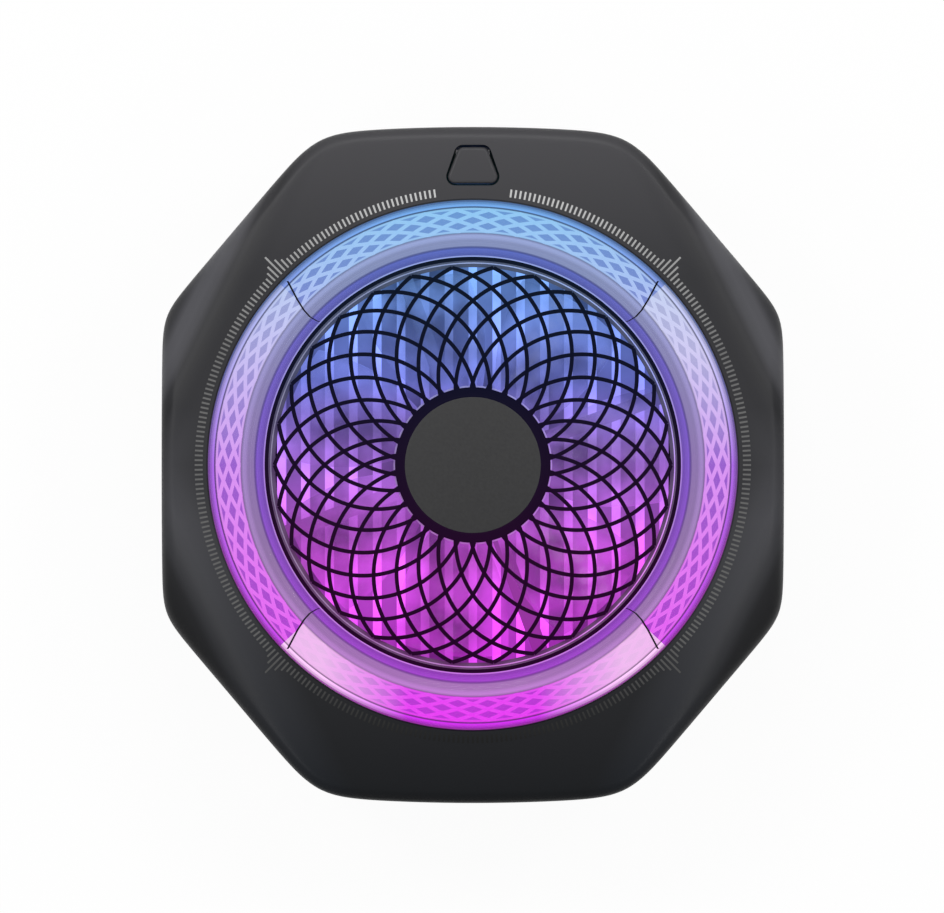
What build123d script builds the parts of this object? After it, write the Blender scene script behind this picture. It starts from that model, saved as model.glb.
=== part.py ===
from build123d import *
from math import atan2, cos, degrees, hypot, radians, sin, sqrt
import os

# A phone cooling fan lying on its cold face. The origin is the middle of the
# face that touches the phone, +Z runs out of the fan and +Y runs to the button.

os.makedirs("parts", exist_ok=True)

# Fan and duct, outwards from the shaft
shaft_radius = 0.75
hub_radius = 8.0
blade_reach = 12.6
tip_gap = 0.7
duct_wall = 0.8

# Clear ring and the housing round it
ring_gap = 0.05
ring_width = 5.85
boss_gap = 0.8
side_border = 4.95
top_border = 7.8
wall = 1.6

# Heights, upwards from the phone
contact_thickness = 0.8
pad_thickness = 0.5
rear_floor = 2.2
plate_flange = 0.8
ceramic_thickness = 0.6
pellet_height = 1.4
sink_base = 1.6
fin_height = 6.0
sink_gap = 0.4
frame_plate = 1.2
blade_clearance = 0.7
blade_height = 6.2
grille_gap = 0.7
rim_height = 0.6
lattice_thickness = 0.8
cap_height = 1.0
cap_recess = 0.6
rear_height = 11.2

# Outline of the housing seen from the front
crown_drop = 0.75
side_vertex_share = 0.445
top_vertex_share = 0.5045
side_round = 8.0
top_round = 11.5
corner_cut_share = 0.3
edge_cut = 1.1
back_chamfer = 1.5

# Soft corner facets of the front
facet_slope = 28.0
facet_first_slope = 3.0
facet_round = 9.0
facet_start_share = 0.14
facet_end_x_share = 0.576
facet_end_y_share = 0.926

# Small rounds are drawn with flats, to keep the model light
hole_sides = 6
post_sides = 8
motor_sides = 16
hub_sides = 24
ring_sides = 36

# Fits and one overrun for every cut
fit = 0.1
slide_fit = 0.15
seat_gap = 0.2
overrun = 1.0

# Radii that follow from the sizes above
rotor_radius = hub_radius + blade_reach
duct_radius = rotor_radius + tip_gap
duct_outer_radius = duct_radius + duct_wall
ring_inner_radius = duct_outer_radius + ring_gap
ring_outer_radius = ring_inner_radius + ring_width
bore_radius = ring_outer_radius + ring_gap
boss_start_radius = bore_radius + boss_gap
half_width = bore_radius + side_border
half_height = bore_radius + top_border
top_vertex_x = top_vertex_share * half_width
top_vertex_y = half_height - crown_drop
side_vertex_y = side_vertex_share * half_height

# Heights that follow from the sizes above
floor_top = contact_thickness + rear_floor
plate_top = floor_top + plate_flange
pellet_base = plate_top + ceramic_thickness
hot_base = pellet_base + pellet_height
sink_bottom = hot_base + ceramic_thickness
sink_top = sink_bottom + sink_base
fin_top = sink_top + fin_height
frame_bottom = fin_top + sink_gap
frame_top = frame_bottom + frame_plate
blade_bottom = frame_top + blade_clearance
blade_top = blade_bottom + blade_height
duct_top = blade_top + grille_gap
rim_top = duct_top + rim_height
lattice_top = rim_top + lattice_thickness
cap_top = lattice_top + cap_height
face_height = cap_top + cap_recess
split_height = contact_thickness + rear_height

# The sloping side between two corners of the outline
diagonal_run = half_width - top_vertex_x
diagonal_rise = top_vertex_y - side_vertex_y
diagonal_length = hypot(diagonal_run, diagonal_rise)
diagonal_angle = degrees(atan2(diagonal_run, diagonal_rise))
diagonal_reach = (half_width * top_vertex_y - top_vertex_x * side_vertex_y) / diagonal_length


def outline():
    """The rounded octagon of the housing, seen from the front."""
    with BuildSketch() as plan:
        with BuildLine():
            ThreePointArc((-top_vertex_x, top_vertex_y), (0, half_height), (top_vertex_x, top_vertex_y))
            Polyline(
                (top_vertex_x, top_vertex_y),
                (half_width, side_vertex_y),
                (half_width, -side_vertex_y),
                (top_vertex_x, -top_vertex_y),
            )
            ThreePointArc((top_vertex_x, -top_vertex_y), (0, -half_height), (-top_vertex_x, -top_vertex_y))
            Polyline(
                (-top_vertex_x, -top_vertex_y),
                (-half_width, -side_vertex_y),
                (-half_width, side_vertex_y),
                (-top_vertex_x, top_vertex_y),
            )
        make_face()
        side_corners = plan.vertices().sort_by(lambda v: abs(v.X))[-4:]
        fillet(side_corners, radius=side_round)
        top_corners = plan.vertices().sort_by(lambda v: abs(v.Y))[-4:]
        fillet(top_corners, radius=top_round)
    return plan.sketch


def inner_outline():
    """The plan of the cavity: straight sides one wall in from the outline, with cut corners."""
    with BuildSketch() as plan:
        Polygon(
            (half_width, side_vertex_y),
            (top_vertex_x, top_vertex_y),
            (0, half_height),
            (-top_vertex_x, top_vertex_y),
            (-half_width, side_vertex_y),
            (-half_width, -side_vertex_y),
            (-top_vertex_x, -top_vertex_y),
            (0, -half_height),
            (top_vertex_x, -top_vertex_y),
            (half_width, -side_vertex_y),
            align=None,
        )
        offset(amount=-wall, kind=Kind.INTERSECTION)
        side_corners = plan.vertices().sort_by(lambda v: abs(v.X))[-4:]
        chamfer(side_corners, length=corner_cut_share * side_round)
        top_corners = plan.vertices().sort_by(lambda v: abs(abs(v.X) - top_vertex_x))[:4]
        chamfer(top_corners, length=corner_cut_share * top_round)
    return plan.sketch


def facet_cutter(inset):
    """The space above one soft corner facet, lowered by an inset."""
    start = Vector(half_width, facet_start_share * half_height, face_height)
    end = Vector(facet_end_x_share * half_width, facet_end_y_share * half_height, face_height)
    along = (end - start).normalized()
    outward = Vector(along.Y, -along.X, 0)
    crease = facet_round * sin(radians(facet_slope) / 2) / cos(radians(facet_slope) / 2)
    radius = facet_round - inset

    def on_arc(angle):
        """A point of the soft crease where the surface has this slope."""
        return Vector(-crease + radius * sin(radians(angle)), radius * cos(radians(angle)) - facet_round)

    first = on_arc(facet_first_slope)
    last = on_arc(facet_slope)
    rise = (overrun - inset - first.Y) / sin(radians(facet_first_slope))
    far = half_width
    high = first - Vector(cos(radians(facet_first_slope)), -sin(radians(facet_first_slope))) * rise
    low = last + Vector(cos(radians(facet_slope)), -sin(radians(facet_slope))) * far
    with BuildPart() as cutter:
        beside = start - along * side_vertex_y
        with BuildSketch(Plane(origin=beside, x_dir=outward, z_dir=outward.cross(Vector(0, 0, 1)))):
            with BuildLine():
                Line(high, first)
                ThreePointArc(first, on_arc((facet_first_slope + facet_slope) / 2), last)
                Polyline(last, low, (low.X, far), (high.X, far), high)
            make_face()
        extrude(amount=-2 * half_width)
    return cutter.part


def front_form(plan, inset):
    """A block over this plan with the four soft facets, lowered by an inset."""
    corner = facet_cutter(inset)
    with BuildPart() as form:
        with BuildSketch(Plane.XY.offset(split_height)):
            add(plan)
        extrude(amount=face_height - inset - split_height)
        add(corner, mode=Mode.SUBTRACT)
        add(corner.mirror(Plane.XZ), mode=Mode.SUBTRACT)
        add(corner.mirror(Plane.YZ), mode=Mode.SUBTRACT)
        add(corner.mirror(Plane.XZ).mirror(Plane.YZ), mode=Mode.SUBTRACT)
    return form.part


def diagonal_points(reach):
    """Four points on the normals of the sloping sides, at this distance from the middle."""
    x = reach * cos(radians(diagonal_angle))
    y = reach * sin(radians(diagonal_angle))
    return [(x, y), (-x, y), (-x, -y), (x, -y)]


def mirrored_points(x, y):
    """A point and its three mirror images in X and Y."""
    return [(x, y), (-x, y), (-x, -y), (x, -y)]


# Screws of the housing, the fan and the heatsink
screw_radius = 0.8
screw_head_radius = 1.5
screw_head_height = 0.9
thread_fit = 0.05
case_screw_length = 8.0
small_screw_length = 4.0

# Columns of the front shell that take the screws
case_gap = 0.3
frame_boss_radius = 1.9
frame_boss_angle = 68.0
case_boss_radius = (diagonal_reach - wall - case_gap - boss_start_radius) / 2
case_boss_reach = boss_start_radius + case_boss_radius
case_boss_bottom = floor_top + seat_gap
frame_boss_reach = boss_start_radius + frame_boss_radius
frame_boss_x = frame_boss_reach * cos(radians(frame_boss_angle))
frame_boss_y = frame_boss_reach * sin(radians(frame_boss_angle))
case_points = diagonal_points(case_boss_reach)
frame_points = mirrored_points(frame_boss_x, frame_boss_y)

# Room between a board and the wall beside it
board_margin = 0.6

# Mode button, its switch and its little board, from the roof down
roof_bottom = face_height - wall
button_inset = 4.1
button_base = 5.9
button_crest = 2.9
button_depth = 3.8
button_round = 0.7
button_proud = 0.15
button_edge = 0.25
button_flange = 0.6
button_flange_height = 0.8
stem_radius = 1.0
stem_length = 2.2
button_travel = 0.35
plunger_radius = 0.8
plunger_height = 0.6
switch_side = 3.6
switch_height = 1.4
small_board = 0.8
button_board_length = 12.4
button_post_radius = 1.0
button_y = half_height - button_inset
button_board_width = 2 * (half_height - wall - board_margin - button_y)
button_flange_top = roof_bottom - fit
stem_top = button_flange_top - button_flange_height
stem_bottom = stem_top - stem_length
switch_top = stem_bottom - plunger_height
button_board_top = switch_top - switch_height
button_post_x = button_board_length / 2 - button_post_radius - seat_gap


def button_outline(growth):
    """The key seen from the front: a rounded trapezoid, its wide side by the ring."""
    with BuildSketch() as key:
        with BuildLine():
            Polyline(
                (-button_base / 2, button_y - button_depth / 2),
                (button_base / 2, button_y - button_depth / 2),
                (button_crest / 2, button_y + button_depth / 2),
                (-button_crest / 2, button_y + button_depth / 2),
                close=True,
            )
        make_face()
        fillet(key.vertices(), radius=button_round)
        if growth:
            offset(amount=growth)
    return key.sketch


# Front shell
front_block = front_form(outline(), 0)
front_cavity = front_form(inner_outline(), wall)
column_top = roof_bottom + wall / 2

with BuildPart() as front_shell:
    add(front_block)
    wall_faces = front_shell.faces().filter_by(lambda f: abs(f.normal_at(f.center()).Z) < 1e-3)
    wall_edges = ShapeList(e for f in wall_faces for e in f.edges())
    brow_faces = front_shell.faces().filter_by(lambda f: f.normal_at(f.center()).Z > 0.3)
    brow_edges = ShapeList(e for f in brow_faces for e in f.edges())
    rim = ShapeList(e for e in wall_edges if any(e.is_same(other) for other in brow_edges))
    chamfer(rim, length=edge_cut)
    add(front_cavity, mode=Mode.SUBTRACT)
    with BuildSketch(Plane.XY.offset(case_boss_bottom)):
        with Locations(*case_points):
            RegularPolygon(case_boss_radius, post_sides)
    extrude(amount=column_top - case_boss_bottom)
    with BuildSketch(Plane.XY.offset(frame_top)):
        with Locations(*frame_points):
            RegularPolygon(frame_boss_radius, post_sides)
    extrude(amount=column_top - frame_top)
    with BuildSketch(Plane.XY.offset(button_board_top)):
        with Locations((-button_post_x, button_y), (button_post_x, button_y)):
            RegularPolygon(button_post_radius, hole_sides)
    extrude(amount=column_top - button_board_top)
    with BuildSketch(Plane.XY.offset(case_boss_bottom)):
        with Locations(*case_points):
            RegularPolygon(screw_radius + thread_fit, hole_sides)
    extrude(amount=case_screw_length, mode=Mode.SUBTRACT)
    with BuildSketch(Plane.XY.offset(frame_top)):
        with Locations(*frame_points):
            RegularPolygon(screw_radius + thread_fit, hole_sides)
    extrude(amount=small_screw_length, mode=Mode.SUBTRACT)
    with BuildSketch(Plane.XY.offset(roof_bottom - overrun)):
        RegularPolygon(bore_radius, ring_sides)
        add(button_outline(slide_fit))
    extrude(amount=wall + 2 * overrun, mode=Mode.SUBTRACT)
front_shell.part.label = "front_shell"
export_step(front_shell.part, "parts/front_shell.step")


# Magnet ring and cold plate in the floor of the rear shell
magnet_border = 1.05
magnet_width = 4.0
magnet_count = 18
magnet_skin = 0.6
magnet_thickness = 1.5
magnet_spacing = 0.4
magnet_web = 1.5
plate_corner = 2.0
plate_ledge = 2.2
magnet_half_angle = 180.0 / magnet_count
magnet_outer_reach = bore_radius - magnet_border
magnet_inner_reach = magnet_outer_reach - magnet_width
plate_diagonal = magnet_inner_reach - fit - magnet_web
plate_half = (plate_diagonal + plate_corner / sqrt(2)) / sqrt(2) - fit
flange_half = plate_half + plate_ledge

# Vents in the walls of the rear shell
vent_width = 3.2
vent_pitch = 5.4
vent_lift = 2.0
vent_border = 1.5
vent_count = 3
corner_vent_count = 3
vent_base = floor_top + vent_lift
vent_height = split_height - vent_border - vent_base

# Heatsink, its feet and the posts that carry them
sink_corner = 7.0
fin_count = 17
fin_thickness = 0.9
foot_x = 12.5
foot_inset = 4.75
foot_radius = 2.2
post_radius = 1.9
sink_half_width = duct_radius - case_gap
sink_half_length = duct_outer_radius - fit
foot_y = half_height - wall - foot_inset
foot_points = mirrored_points(foot_x, foot_y)

# Main board and its socket
board_lift = 2.1
board_thickness = 0.8
board_half_width = 9.5
board_screw_x = 7.6
board_screw_inset = 2.6
board_post_radius = 1.6
socket_width = 8.94
socket_height = 3.26
socket_length = 7.3
socket_recess = 0.6
socket_wall = 0.3
socket_corner = 0.8
socket_margin = 0.15
board_bottom = floor_top + board_lift
board_top = board_bottom + board_thickness
board_front_y = -(half_height - wall - board_margin)
board_back_y = -(sink_half_length + board_margin + case_gap)
board_screw_y = board_front_y + board_screw_inset
board_points = [(-board_screw_x, board_screw_y), (board_screw_x, board_screw_y)]
socket_z = board_top + socket_height / 2
socket_plane = Plane(origin=(0, socket_recess - half_height, socket_z), x_dir=(1, 0, 0), z_dir=(0, -1, 0))


def diagonal_wall_places(count):
    """Places spread along the four sloping walls, each turned square to its wall."""
    places = []
    for side, (x, y) in enumerate(diagonal_points(diagonal_reach - wall / 2)):
        turn = degrees(atan2(y, x))
        for step in range(count):
            along = (step - (count - 1) / 2) * vent_pitch
            shift_x = -along * sin(radians(turn))
            shift_y = along * cos(radians(turn))
            places.append(Location((x + shift_x, y + shift_y), turn))
    return places


# Rear shell
with BuildPart() as rear_shell:
    with BuildSketch(Plane.XY.offset(contact_thickness)):
        add(outline())
    extrude(amount=rear_height)
    chamfer(rear_shell.faces().sort_by(Axis.Z)[0].edges(), length=back_chamfer)
    with BuildSketch(Plane.XY.offset(floor_top)):
        add(inner_outline())
    extrude(amount=rear_height, mode=Mode.SUBTRACT)
    with BuildSketch(Plane.XY.offset(floor_top)):
        with Locations(*foot_points):
            RegularPolygon(post_radius, post_sides)
    extrude(amount=sink_bottom - floor_top)
    with BuildSketch(Plane.XY.offset(floor_top)):
        with Locations(*board_points):
            RegularPolygon(board_post_radius, post_sides)
    extrude(amount=board_lift)
    with BuildSketch(Plane.XY.offset(sink_bottom)):
        with Locations(*foot_points):
            RegularPolygon(screw_radius + thread_fit, hole_sides)
    extrude(amount=-(small_screw_length - sink_base), mode=Mode.SUBTRACT)
    with BuildSketch(Plane.XY.offset(board_bottom)):
        with Locations(*board_points):
            RegularPolygon(screw_radius + thread_fit, hole_sides)
    extrude(amount=-(small_screw_length - board_thickness), mode=Mode.SUBTRACT)
    with BuildSketch(Plane.XY.offset(contact_thickness)):
        aperture = Rectangle(2 * (plate_half + fit), 2 * (plate_half + fit))
        chamfer(aperture.vertices(), length=plate_corner)
    extrude(amount=rear_floor, mode=Mode.SUBTRACT)
    with BuildSketch(Plane.XY.offset(contact_thickness + magnet_skin)):
        RegularPolygon(magnet_outer_reach + fit, magnet_count, major_radius=False)
        RegularPolygon(magnet_inner_reach - fit, magnet_count, major_radius=False, mode=Mode.SUBTRACT)
    extrude(amount=rear_floor - magnet_skin, mode=Mode.SUBTRACT)
    with BuildSketch(Plane.XY.offset(contact_thickness)):
        with Locations(*case_points):
            RegularPolygon(screw_head_radius + fit, post_sides)
    extrude(amount=screw_head_height + seat_gap, mode=Mode.SUBTRACT)
    with BuildSketch(Plane.XY.offset(contact_thickness)):
        with Locations(*case_points):
            RegularPolygon(screw_radius + fit, hole_sides)
    extrude(amount=rear_floor, mode=Mode.SUBTRACT)
    with BuildSketch(Plane.XY.offset(vent_base)):
        with Locations((half_width - wall / 2, 0), (-half_width + wall / 2, 0)):
            with GridLocations(0, vent_pitch, 1, vent_count):
                Rectangle(wall + overrun, vent_width)
        with Locations((0, half_height - wall / 2)):
            with GridLocations(vent_pitch, 0, vent_count, 1):
                Rectangle(vent_width, wall + overrun)
        with Locations(*diagonal_wall_places(corner_vent_count)):
            Rectangle(wall + overrun, vent_width)
    extrude(amount=vent_height, mode=Mode.SUBTRACT)
    with BuildSketch(socket_plane.offset(socket_recess + overrun)):
        opening = Rectangle(socket_width + 2 * socket_margin, socket_height + 2 * socket_margin)
        chamfer(opening.vertices(), length=socket_corner)
    extrude(amount=-(wall + 2 * overrun), mode=Mode.SUBTRACT)
rear_shell.part.label = "rear_shell"
export_step(rear_shell.part, "parts/rear_shell.step")

# Soft ring that rests on the phone
contact_border = 0.35
contact_ring_width = 5.8
contact_outer_radius = bore_radius + contact_border
with BuildPart() as contact_ring:
    with BuildSketch():
        RegularPolygon(contact_outer_radius, ring_sides)
        RegularPolygon(contact_outer_radius - contact_ring_width, ring_sides, mode=Mode.SUBTRACT)
    extrude(amount=contact_thickness)
contact_ring.part.label = "contact_ring"
export_step(contact_ring.part, "parts/contact_ring.step")

# Magnets of the ring
with BuildPart() as magnet_ring:
    inner_half = magnet_inner_reach * sin(radians(magnet_half_angle)) / cos(radians(magnet_half_angle))
    outer_half = magnet_outer_reach * sin(radians(magnet_half_angle)) / cos(radians(magnet_half_angle))
    with BuildSketch(Plane.XY.offset(contact_thickness + magnet_skin)):
        with PolarLocations(0, magnet_count, start_angle=magnet_half_angle):
            Polygon(
                (magnet_inner_reach, magnet_spacing / 2 - inner_half),
                (magnet_outer_reach, magnet_spacing / 2 - outer_half),
                (magnet_outer_reach, outer_half - magnet_spacing / 2),
                (magnet_inner_reach, inner_half - magnet_spacing / 2),
                align=None,
            )
    extrude(amount=magnet_thickness)
magnet_ring.part.label = "magnet_ring"
export_step(magnet_ring.part, "parts/magnet_ring.step")

# Cold plate and the soft pad on its face
pad_border = 1.0
with BuildPart() as cold_plate:
    with BuildSketch(Plane.XY.offset(pad_thickness)):
        foot = Rectangle(2 * plate_half, 2 * plate_half)
        chamfer(foot.vertices(), length=plate_corner)
    extrude(amount=floor_top - pad_thickness)
    with BuildSketch(Plane.XY.offset(floor_top)):
        flange = Rectangle(2 * flange_half, 2 * flange_half)
        chamfer(flange.vertices(), length=plate_corner)
    extrude(amount=plate_flange)
cold_plate.part.label = "cold_plate"
export_step(cold_plate.part, "parts/cold_plate.step")

with BuildPart() as thermal_pad:
    with BuildSketch():
        pad = Rectangle(2 * (plate_half - pad_border), 2 * (plate_half - pad_border))
        chamfer(pad.vertices(), length=plate_corner)
    extrude(amount=pad_thickness)
thermal_pad.part.label = "thermal_pad"
export_step(thermal_pad.part, "parts/thermal_pad.step")

# Cooler module between the cold plate and the heatsink
module_side = 2 * (plate_half - pad_border)
pellet_rows = 4
pellet_side = 4.2
foam_gap = 0.5
for name, base in (("cooler_cold_ceramic", plate_top), ("cooler_hot_ceramic", hot_base)):
    with BuildPart() as ceramic:
        with BuildSketch(Plane.XY.offset(base)):
            Rectangle(module_side, module_side)
        extrude(amount=ceramic_thickness)
    ceramic.part.label = name
    export_step(ceramic.part, f"parts/{name}.step")

with BuildPart() as cooler_pellets:
    with BuildSketch(Plane.XY.offset(pellet_base)):
        with GridLocations(module_side / pellet_rows, module_side / pellet_rows, pellet_rows, pellet_rows):
            Rectangle(pellet_side, pellet_side)
    extrude(amount=pellet_height)
cooler_pellets.part.label = "cooler_pellets"
export_step(cooler_pellets.part, "parts/cooler_pellets.step")

with BuildPart() as insulation_frame:
    with BuildSketch(Plane.XY.offset(plate_top)):
        foam = Rectangle(2 * flange_half, 2 * flange_half)
        chamfer(foam.vertices(), length=plate_corner)
        Rectangle(module_side + 2 * foam_gap, module_side + 2 * foam_gap, mode=Mode.SUBTRACT)
    extrude(amount=sink_bottom - plate_top)
insulation_frame.part.label = "insulation_frame"
export_step(insulation_frame.part, "parts/insulation_frame.step")

# Heatsink: finned plate with four feet
with BuildSketch() as sink_plan:
    Rectangle(2 * sink_half_width, 2 * sink_half_length)
    chamfer(sink_plan.vertices(), length=sink_corner)
fin_pitch = (2 * sink_half_width - fin_thickness) / (fin_count - 1)
with BuildPart() as heatsink:
    with BuildSketch(Plane.XY.offset(sink_bottom)):
        with Locations((foot_x, 0), (-foot_x, 0)):
            Rectangle(2 * foot_radius, 2 * foot_y)
        with Locations(*foot_points):
            RegularPolygon(foot_radius, post_sides)
        add(sink_plan.sketch)
        with Locations(*foot_points):
            RegularPolygon(screw_radius + fit, hole_sides, mode=Mode.SUBTRACT)
    extrude(amount=sink_base)
    with BuildSketch(Plane.XY.offset(sink_top)):
        with GridLocations(fin_pitch, 0, fin_count, 1):
            Rectangle(fin_thickness, 2 * sink_half_length)
        add(sink_plan.sketch, mode=Mode.INTERSECT)
    extrude(amount=fin_height)
heatsink.part.label = "heatsink"
export_step(heatsink.part, "parts/heatsink.step")


def screws(points, head_base, length, upwards):
    """Pan head screws at these points; the head lies on its far side from the thread."""
    way = 1 if upwards else -1
    with BuildPart() as group:
        with BuildSketch(Plane.XY.offset(head_base)):
            with Locations(*points):
                RegularPolygon(screw_head_radius, post_sides)
        extrude(amount=-way * screw_head_height)
        with BuildSketch(Plane.XY.offset(head_base)):
            with Locations(*points):
                RegularPolygon(screw_radius, hole_sides)
        extrude(amount=way * length)
    return group.part


with BuildPart() as heatsink_screws:
    add(screws(foot_points, sink_top, small_screw_length - seat_gap, False))
heatsink_screws.part.label = "heatsink_screws"
export_step(heatsink_screws.part, "parts/heatsink_screws.step")

with BuildPart() as board_screws:
    add(screws(board_points, board_top, small_screw_length - seat_gap, False))
board_screws.part.label = "board_screws"
export_step(board_screws.part, "parts/board_screws.step")

with BuildPart() as frame_screws:
    add(screws(frame_points, frame_bottom, small_screw_length + frame_plate - seat_gap, True))
frame_screws.part.label = "frame_screws"
export_step(frame_screws.part, "parts/frame_screws.step")

case_seat = contact_thickness + screw_head_height + seat_gap
case_shank = case_boss_bottom + case_screw_length - case_seat - seat_gap
with BuildPart() as case_screws:
    add(screws(case_points, case_seat, case_shank, True))
case_screws.part.label = "case_screws"
export_step(case_screws.part, "parts/case_screws.step")

# Main board with its parts and the charging socket
with BuildPart() as main_board:
    with BuildSketch(Plane.XY.offset(board_bottom)):
        with Locations((0, (board_front_y + board_back_y) / 2)):
            Rectangle(2 * board_half_width, board_back_y - board_front_y)
        with Locations(*board_points):
            RegularPolygon(screw_radius + fit, hole_sides, mode=Mode.SUBTRACT)
    extrude(amount=board_thickness)
main_board.part.label = "main_board"
export_step(main_board.part, "parts/main_board.step")

chip_side = 3.6
chip_height = 0.9
coil_side = 4.0
coil_height = 2.0
chip_pitch = 5.6
chip_row_y = board_back_y - coil_side / 2 - board_margin
with BuildPart() as control_chips:
    with BuildSketch(Plane.XY.offset(board_top)):
        with Locations((-chip_pitch, chip_row_y), (chip_pitch, chip_row_y)):
            Rectangle(chip_side, chip_side)
    extrude(amount=chip_height)
    with BuildSketch(Plane.XY.offset(board_top)):
        with Locations((0, chip_row_y)):
            Rectangle(coil_side, coil_side)
    extrude(amount=coil_height)
control_chips.part.label = "control_chips"
export_step(control_chips.part, "parts/control_chips.step")

with BuildPart() as usb_receptacle:
    with BuildSketch(socket_plane):
        can = Rectangle(socket_width, socket_height)
        chamfer(can.vertices(), length=socket_corner)
        offset(amount=-socket_wall, kind=Kind.INTERSECTION, mode=Mode.SUBTRACT)
    extrude(amount=-socket_length)
usb_receptacle.part.label = "usb_receptacle"
export_step(usb_receptacle.part, "parts/usb_receptacle.step")

tongue_width = 6.69
tongue_height = 0.7
tongue_length = 4.45
tongue_recess = 0.8
with BuildPart() as usb_tongue:
    with BuildSketch(socket_plane.offset(-tongue_recess)):
        Rectangle(tongue_width, tongue_height)
    extrude(amount=-tongue_length)
    with BuildSketch(socket_plane.offset(-tongue_recess - tongue_length)):
        Rectangle(
            socket_width - 2 * socket_corner - 2 * socket_wall,
            socket_height - 2 * (socket_wall + thread_fit),
        )
    extrude(amount=-(socket_length - tongue_recess - tongue_length))
usb_tongue.part.label = "usb_tongue"
export_step(usb_tongue.part, "parts/usb_tongue.step")

# Fan frame: duct, light trough, struts, motor seat and four ears in one moulding
trough_wall = 0.8
ring_height = 3.0
ring_recess = 0.1
diffuser_thickness = 1.1
seat_inset = 0.4
strut_width = 1.6
strut_count = 4
strut_angle = 20.0
tube_height = 5.0
tube_wall = 0.7
tube_floor = 0.5
sleeve_wall = 0.7
bearing_fit = 0.03
seat_radius = hub_radius - seat_inset
ring_top = face_height - ring_recess
ring_bottom = ring_top - ring_height
diffuser_bottom = ring_bottom - diffuser_thickness
trough_inner_radius = ring_outer_radius - trough_wall
sleeve_radius = shaft_radius + bearing_fit + sleeve_wall
tube_radius = sleeve_radius + thread_fit + tube_wall
tube_top = frame_top + tube_height

with BuildPart() as fan_frame:
    with BuildSketch(Plane.XY.offset(frame_bottom)):
        RegularPolygon(ring_outer_radius, ring_sides)
        for x, y in frame_points:
            with Locations(Location((x / 2, y / 2), degrees(atan2(y, x)))):
                Rectangle(frame_boss_reach, 2 * frame_boss_radius)
        with Locations(*frame_points):
            RegularPolygon(frame_boss_radius, post_sides)
            RegularPolygon(screw_radius + fit, hole_sides, mode=Mode.SUBTRACT)
        RegularPolygon(duct_radius, ring_sides, mode=Mode.SUBTRACT)
        RegularPolygon(seat_radius, motor_sides)
        with PolarLocations((duct_radius + seat_radius) / 2, strut_count, start_angle=strut_angle):
            Rectangle(duct_radius - seat_radius + duct_wall, strut_width)
    extrude(amount=frame_plate)
    with BuildSketch(Plane.XY.offset(frame_top)):
        RegularPolygon(ring_outer_radius, ring_sides)
        RegularPolygon(trough_inner_radius, ring_sides, mode=Mode.SUBTRACT)
    extrude(amount=diffuser_bottom - frame_top)
    with BuildSketch(Plane.XY.offset(frame_top)):
        RegularPolygon(duct_outer_radius, ring_sides)
        RegularPolygon(duct_radius, ring_sides, mode=Mode.SUBTRACT)
    extrude(amount=duct_top - frame_top)
    with BuildSketch(Plane.XY.offset(frame_top)):
        RegularPolygon(tube_radius, motor_sides)
    extrude(amount=tube_height)
    with BuildSketch(Plane.XY.offset(frame_bottom + tube_floor)):
        RegularPolygon(sleeve_radius + thread_fit, motor_sides)
    extrude(amount=tube_top - frame_bottom, mode=Mode.SUBTRACT)
fan_frame.part.label = "fan_frame"
export_step(fan_frame.part, "parts/fan_frame.step")

# Bearing, motor and fan board, inside the cup of the rotor
hub_wall = 0.8
cup_wall = 0.5
magnet_wall = 0.8
cup_radius = hub_radius - hub_wall - thread_fit
rotor_magnet_radius = cup_radius - cup_wall - thread_fit
sleeve_bottom = frame_bottom + tube_floor + fit
core_hub_wall = 0.5
core_height = 2.0
air_gap = 0.2
core_tooth = 1.2
core_shoe = 0.5
core_lift = 1.9
tooth_count = 4
coil_wall = 0.7
coil_gap = 0.1
fan_board_border = 0.55
fan_board_thickness = 0.5
core_radius = (rotor_magnet_radius - magnet_wall) * cos(radians(180 / motor_sides)) - air_gap
core_hub_radius = tube_radius + thread_fit + core_hub_wall
core_bottom = frame_top + core_lift
coil_inner = core_hub_radius + coil_gap
coil_half_width = core_tooth / 2 + coil_wall
coil_outer = sqrt((core_radius - core_shoe - coil_gap) ** 2 - coil_half_width**2)

with BuildPart() as bearing_sleeve:
    with BuildSketch(Plane.XY.offset(sleeve_bottom)):
        RegularPolygon(sleeve_radius, motor_sides)
        Circle(shaft_radius + bearing_fit, mode=Mode.SUBTRACT)
    extrude(amount=tube_top - sleeve_bottom - seat_gap)
bearing_sleeve.part.label = "bearing_sleeve"
export_step(bearing_sleeve.part, "parts/bearing_sleeve.step")

with BuildPart() as stator_core:
    with BuildSketch(Plane.XY.offset(core_bottom)):
        RegularPolygon(core_radius, motor_sides)
        RegularPolygon(core_radius - core_shoe, motor_sides, mode=Mode.SUBTRACT)
        with PolarLocations(core_radius, tooth_count, start_angle=180 / tooth_count):
            Rectangle(core_radius, 2 * core_shoe, mode=Mode.SUBTRACT)
        RegularPolygon(core_hub_radius, motor_sides)
        with PolarLocations((core_hub_radius + core_radius - core_shoe) / 2, tooth_count):
            Rectangle(core_radius - core_hub_radius, core_tooth)
        RegularPolygon(tube_radius + thread_fit, motor_sides, mode=Mode.SUBTRACT)
    extrude(amount=core_height)
stator_core.part.label = "stator_core"
export_step(stator_core.part, "parts/stator_core.step")

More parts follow.
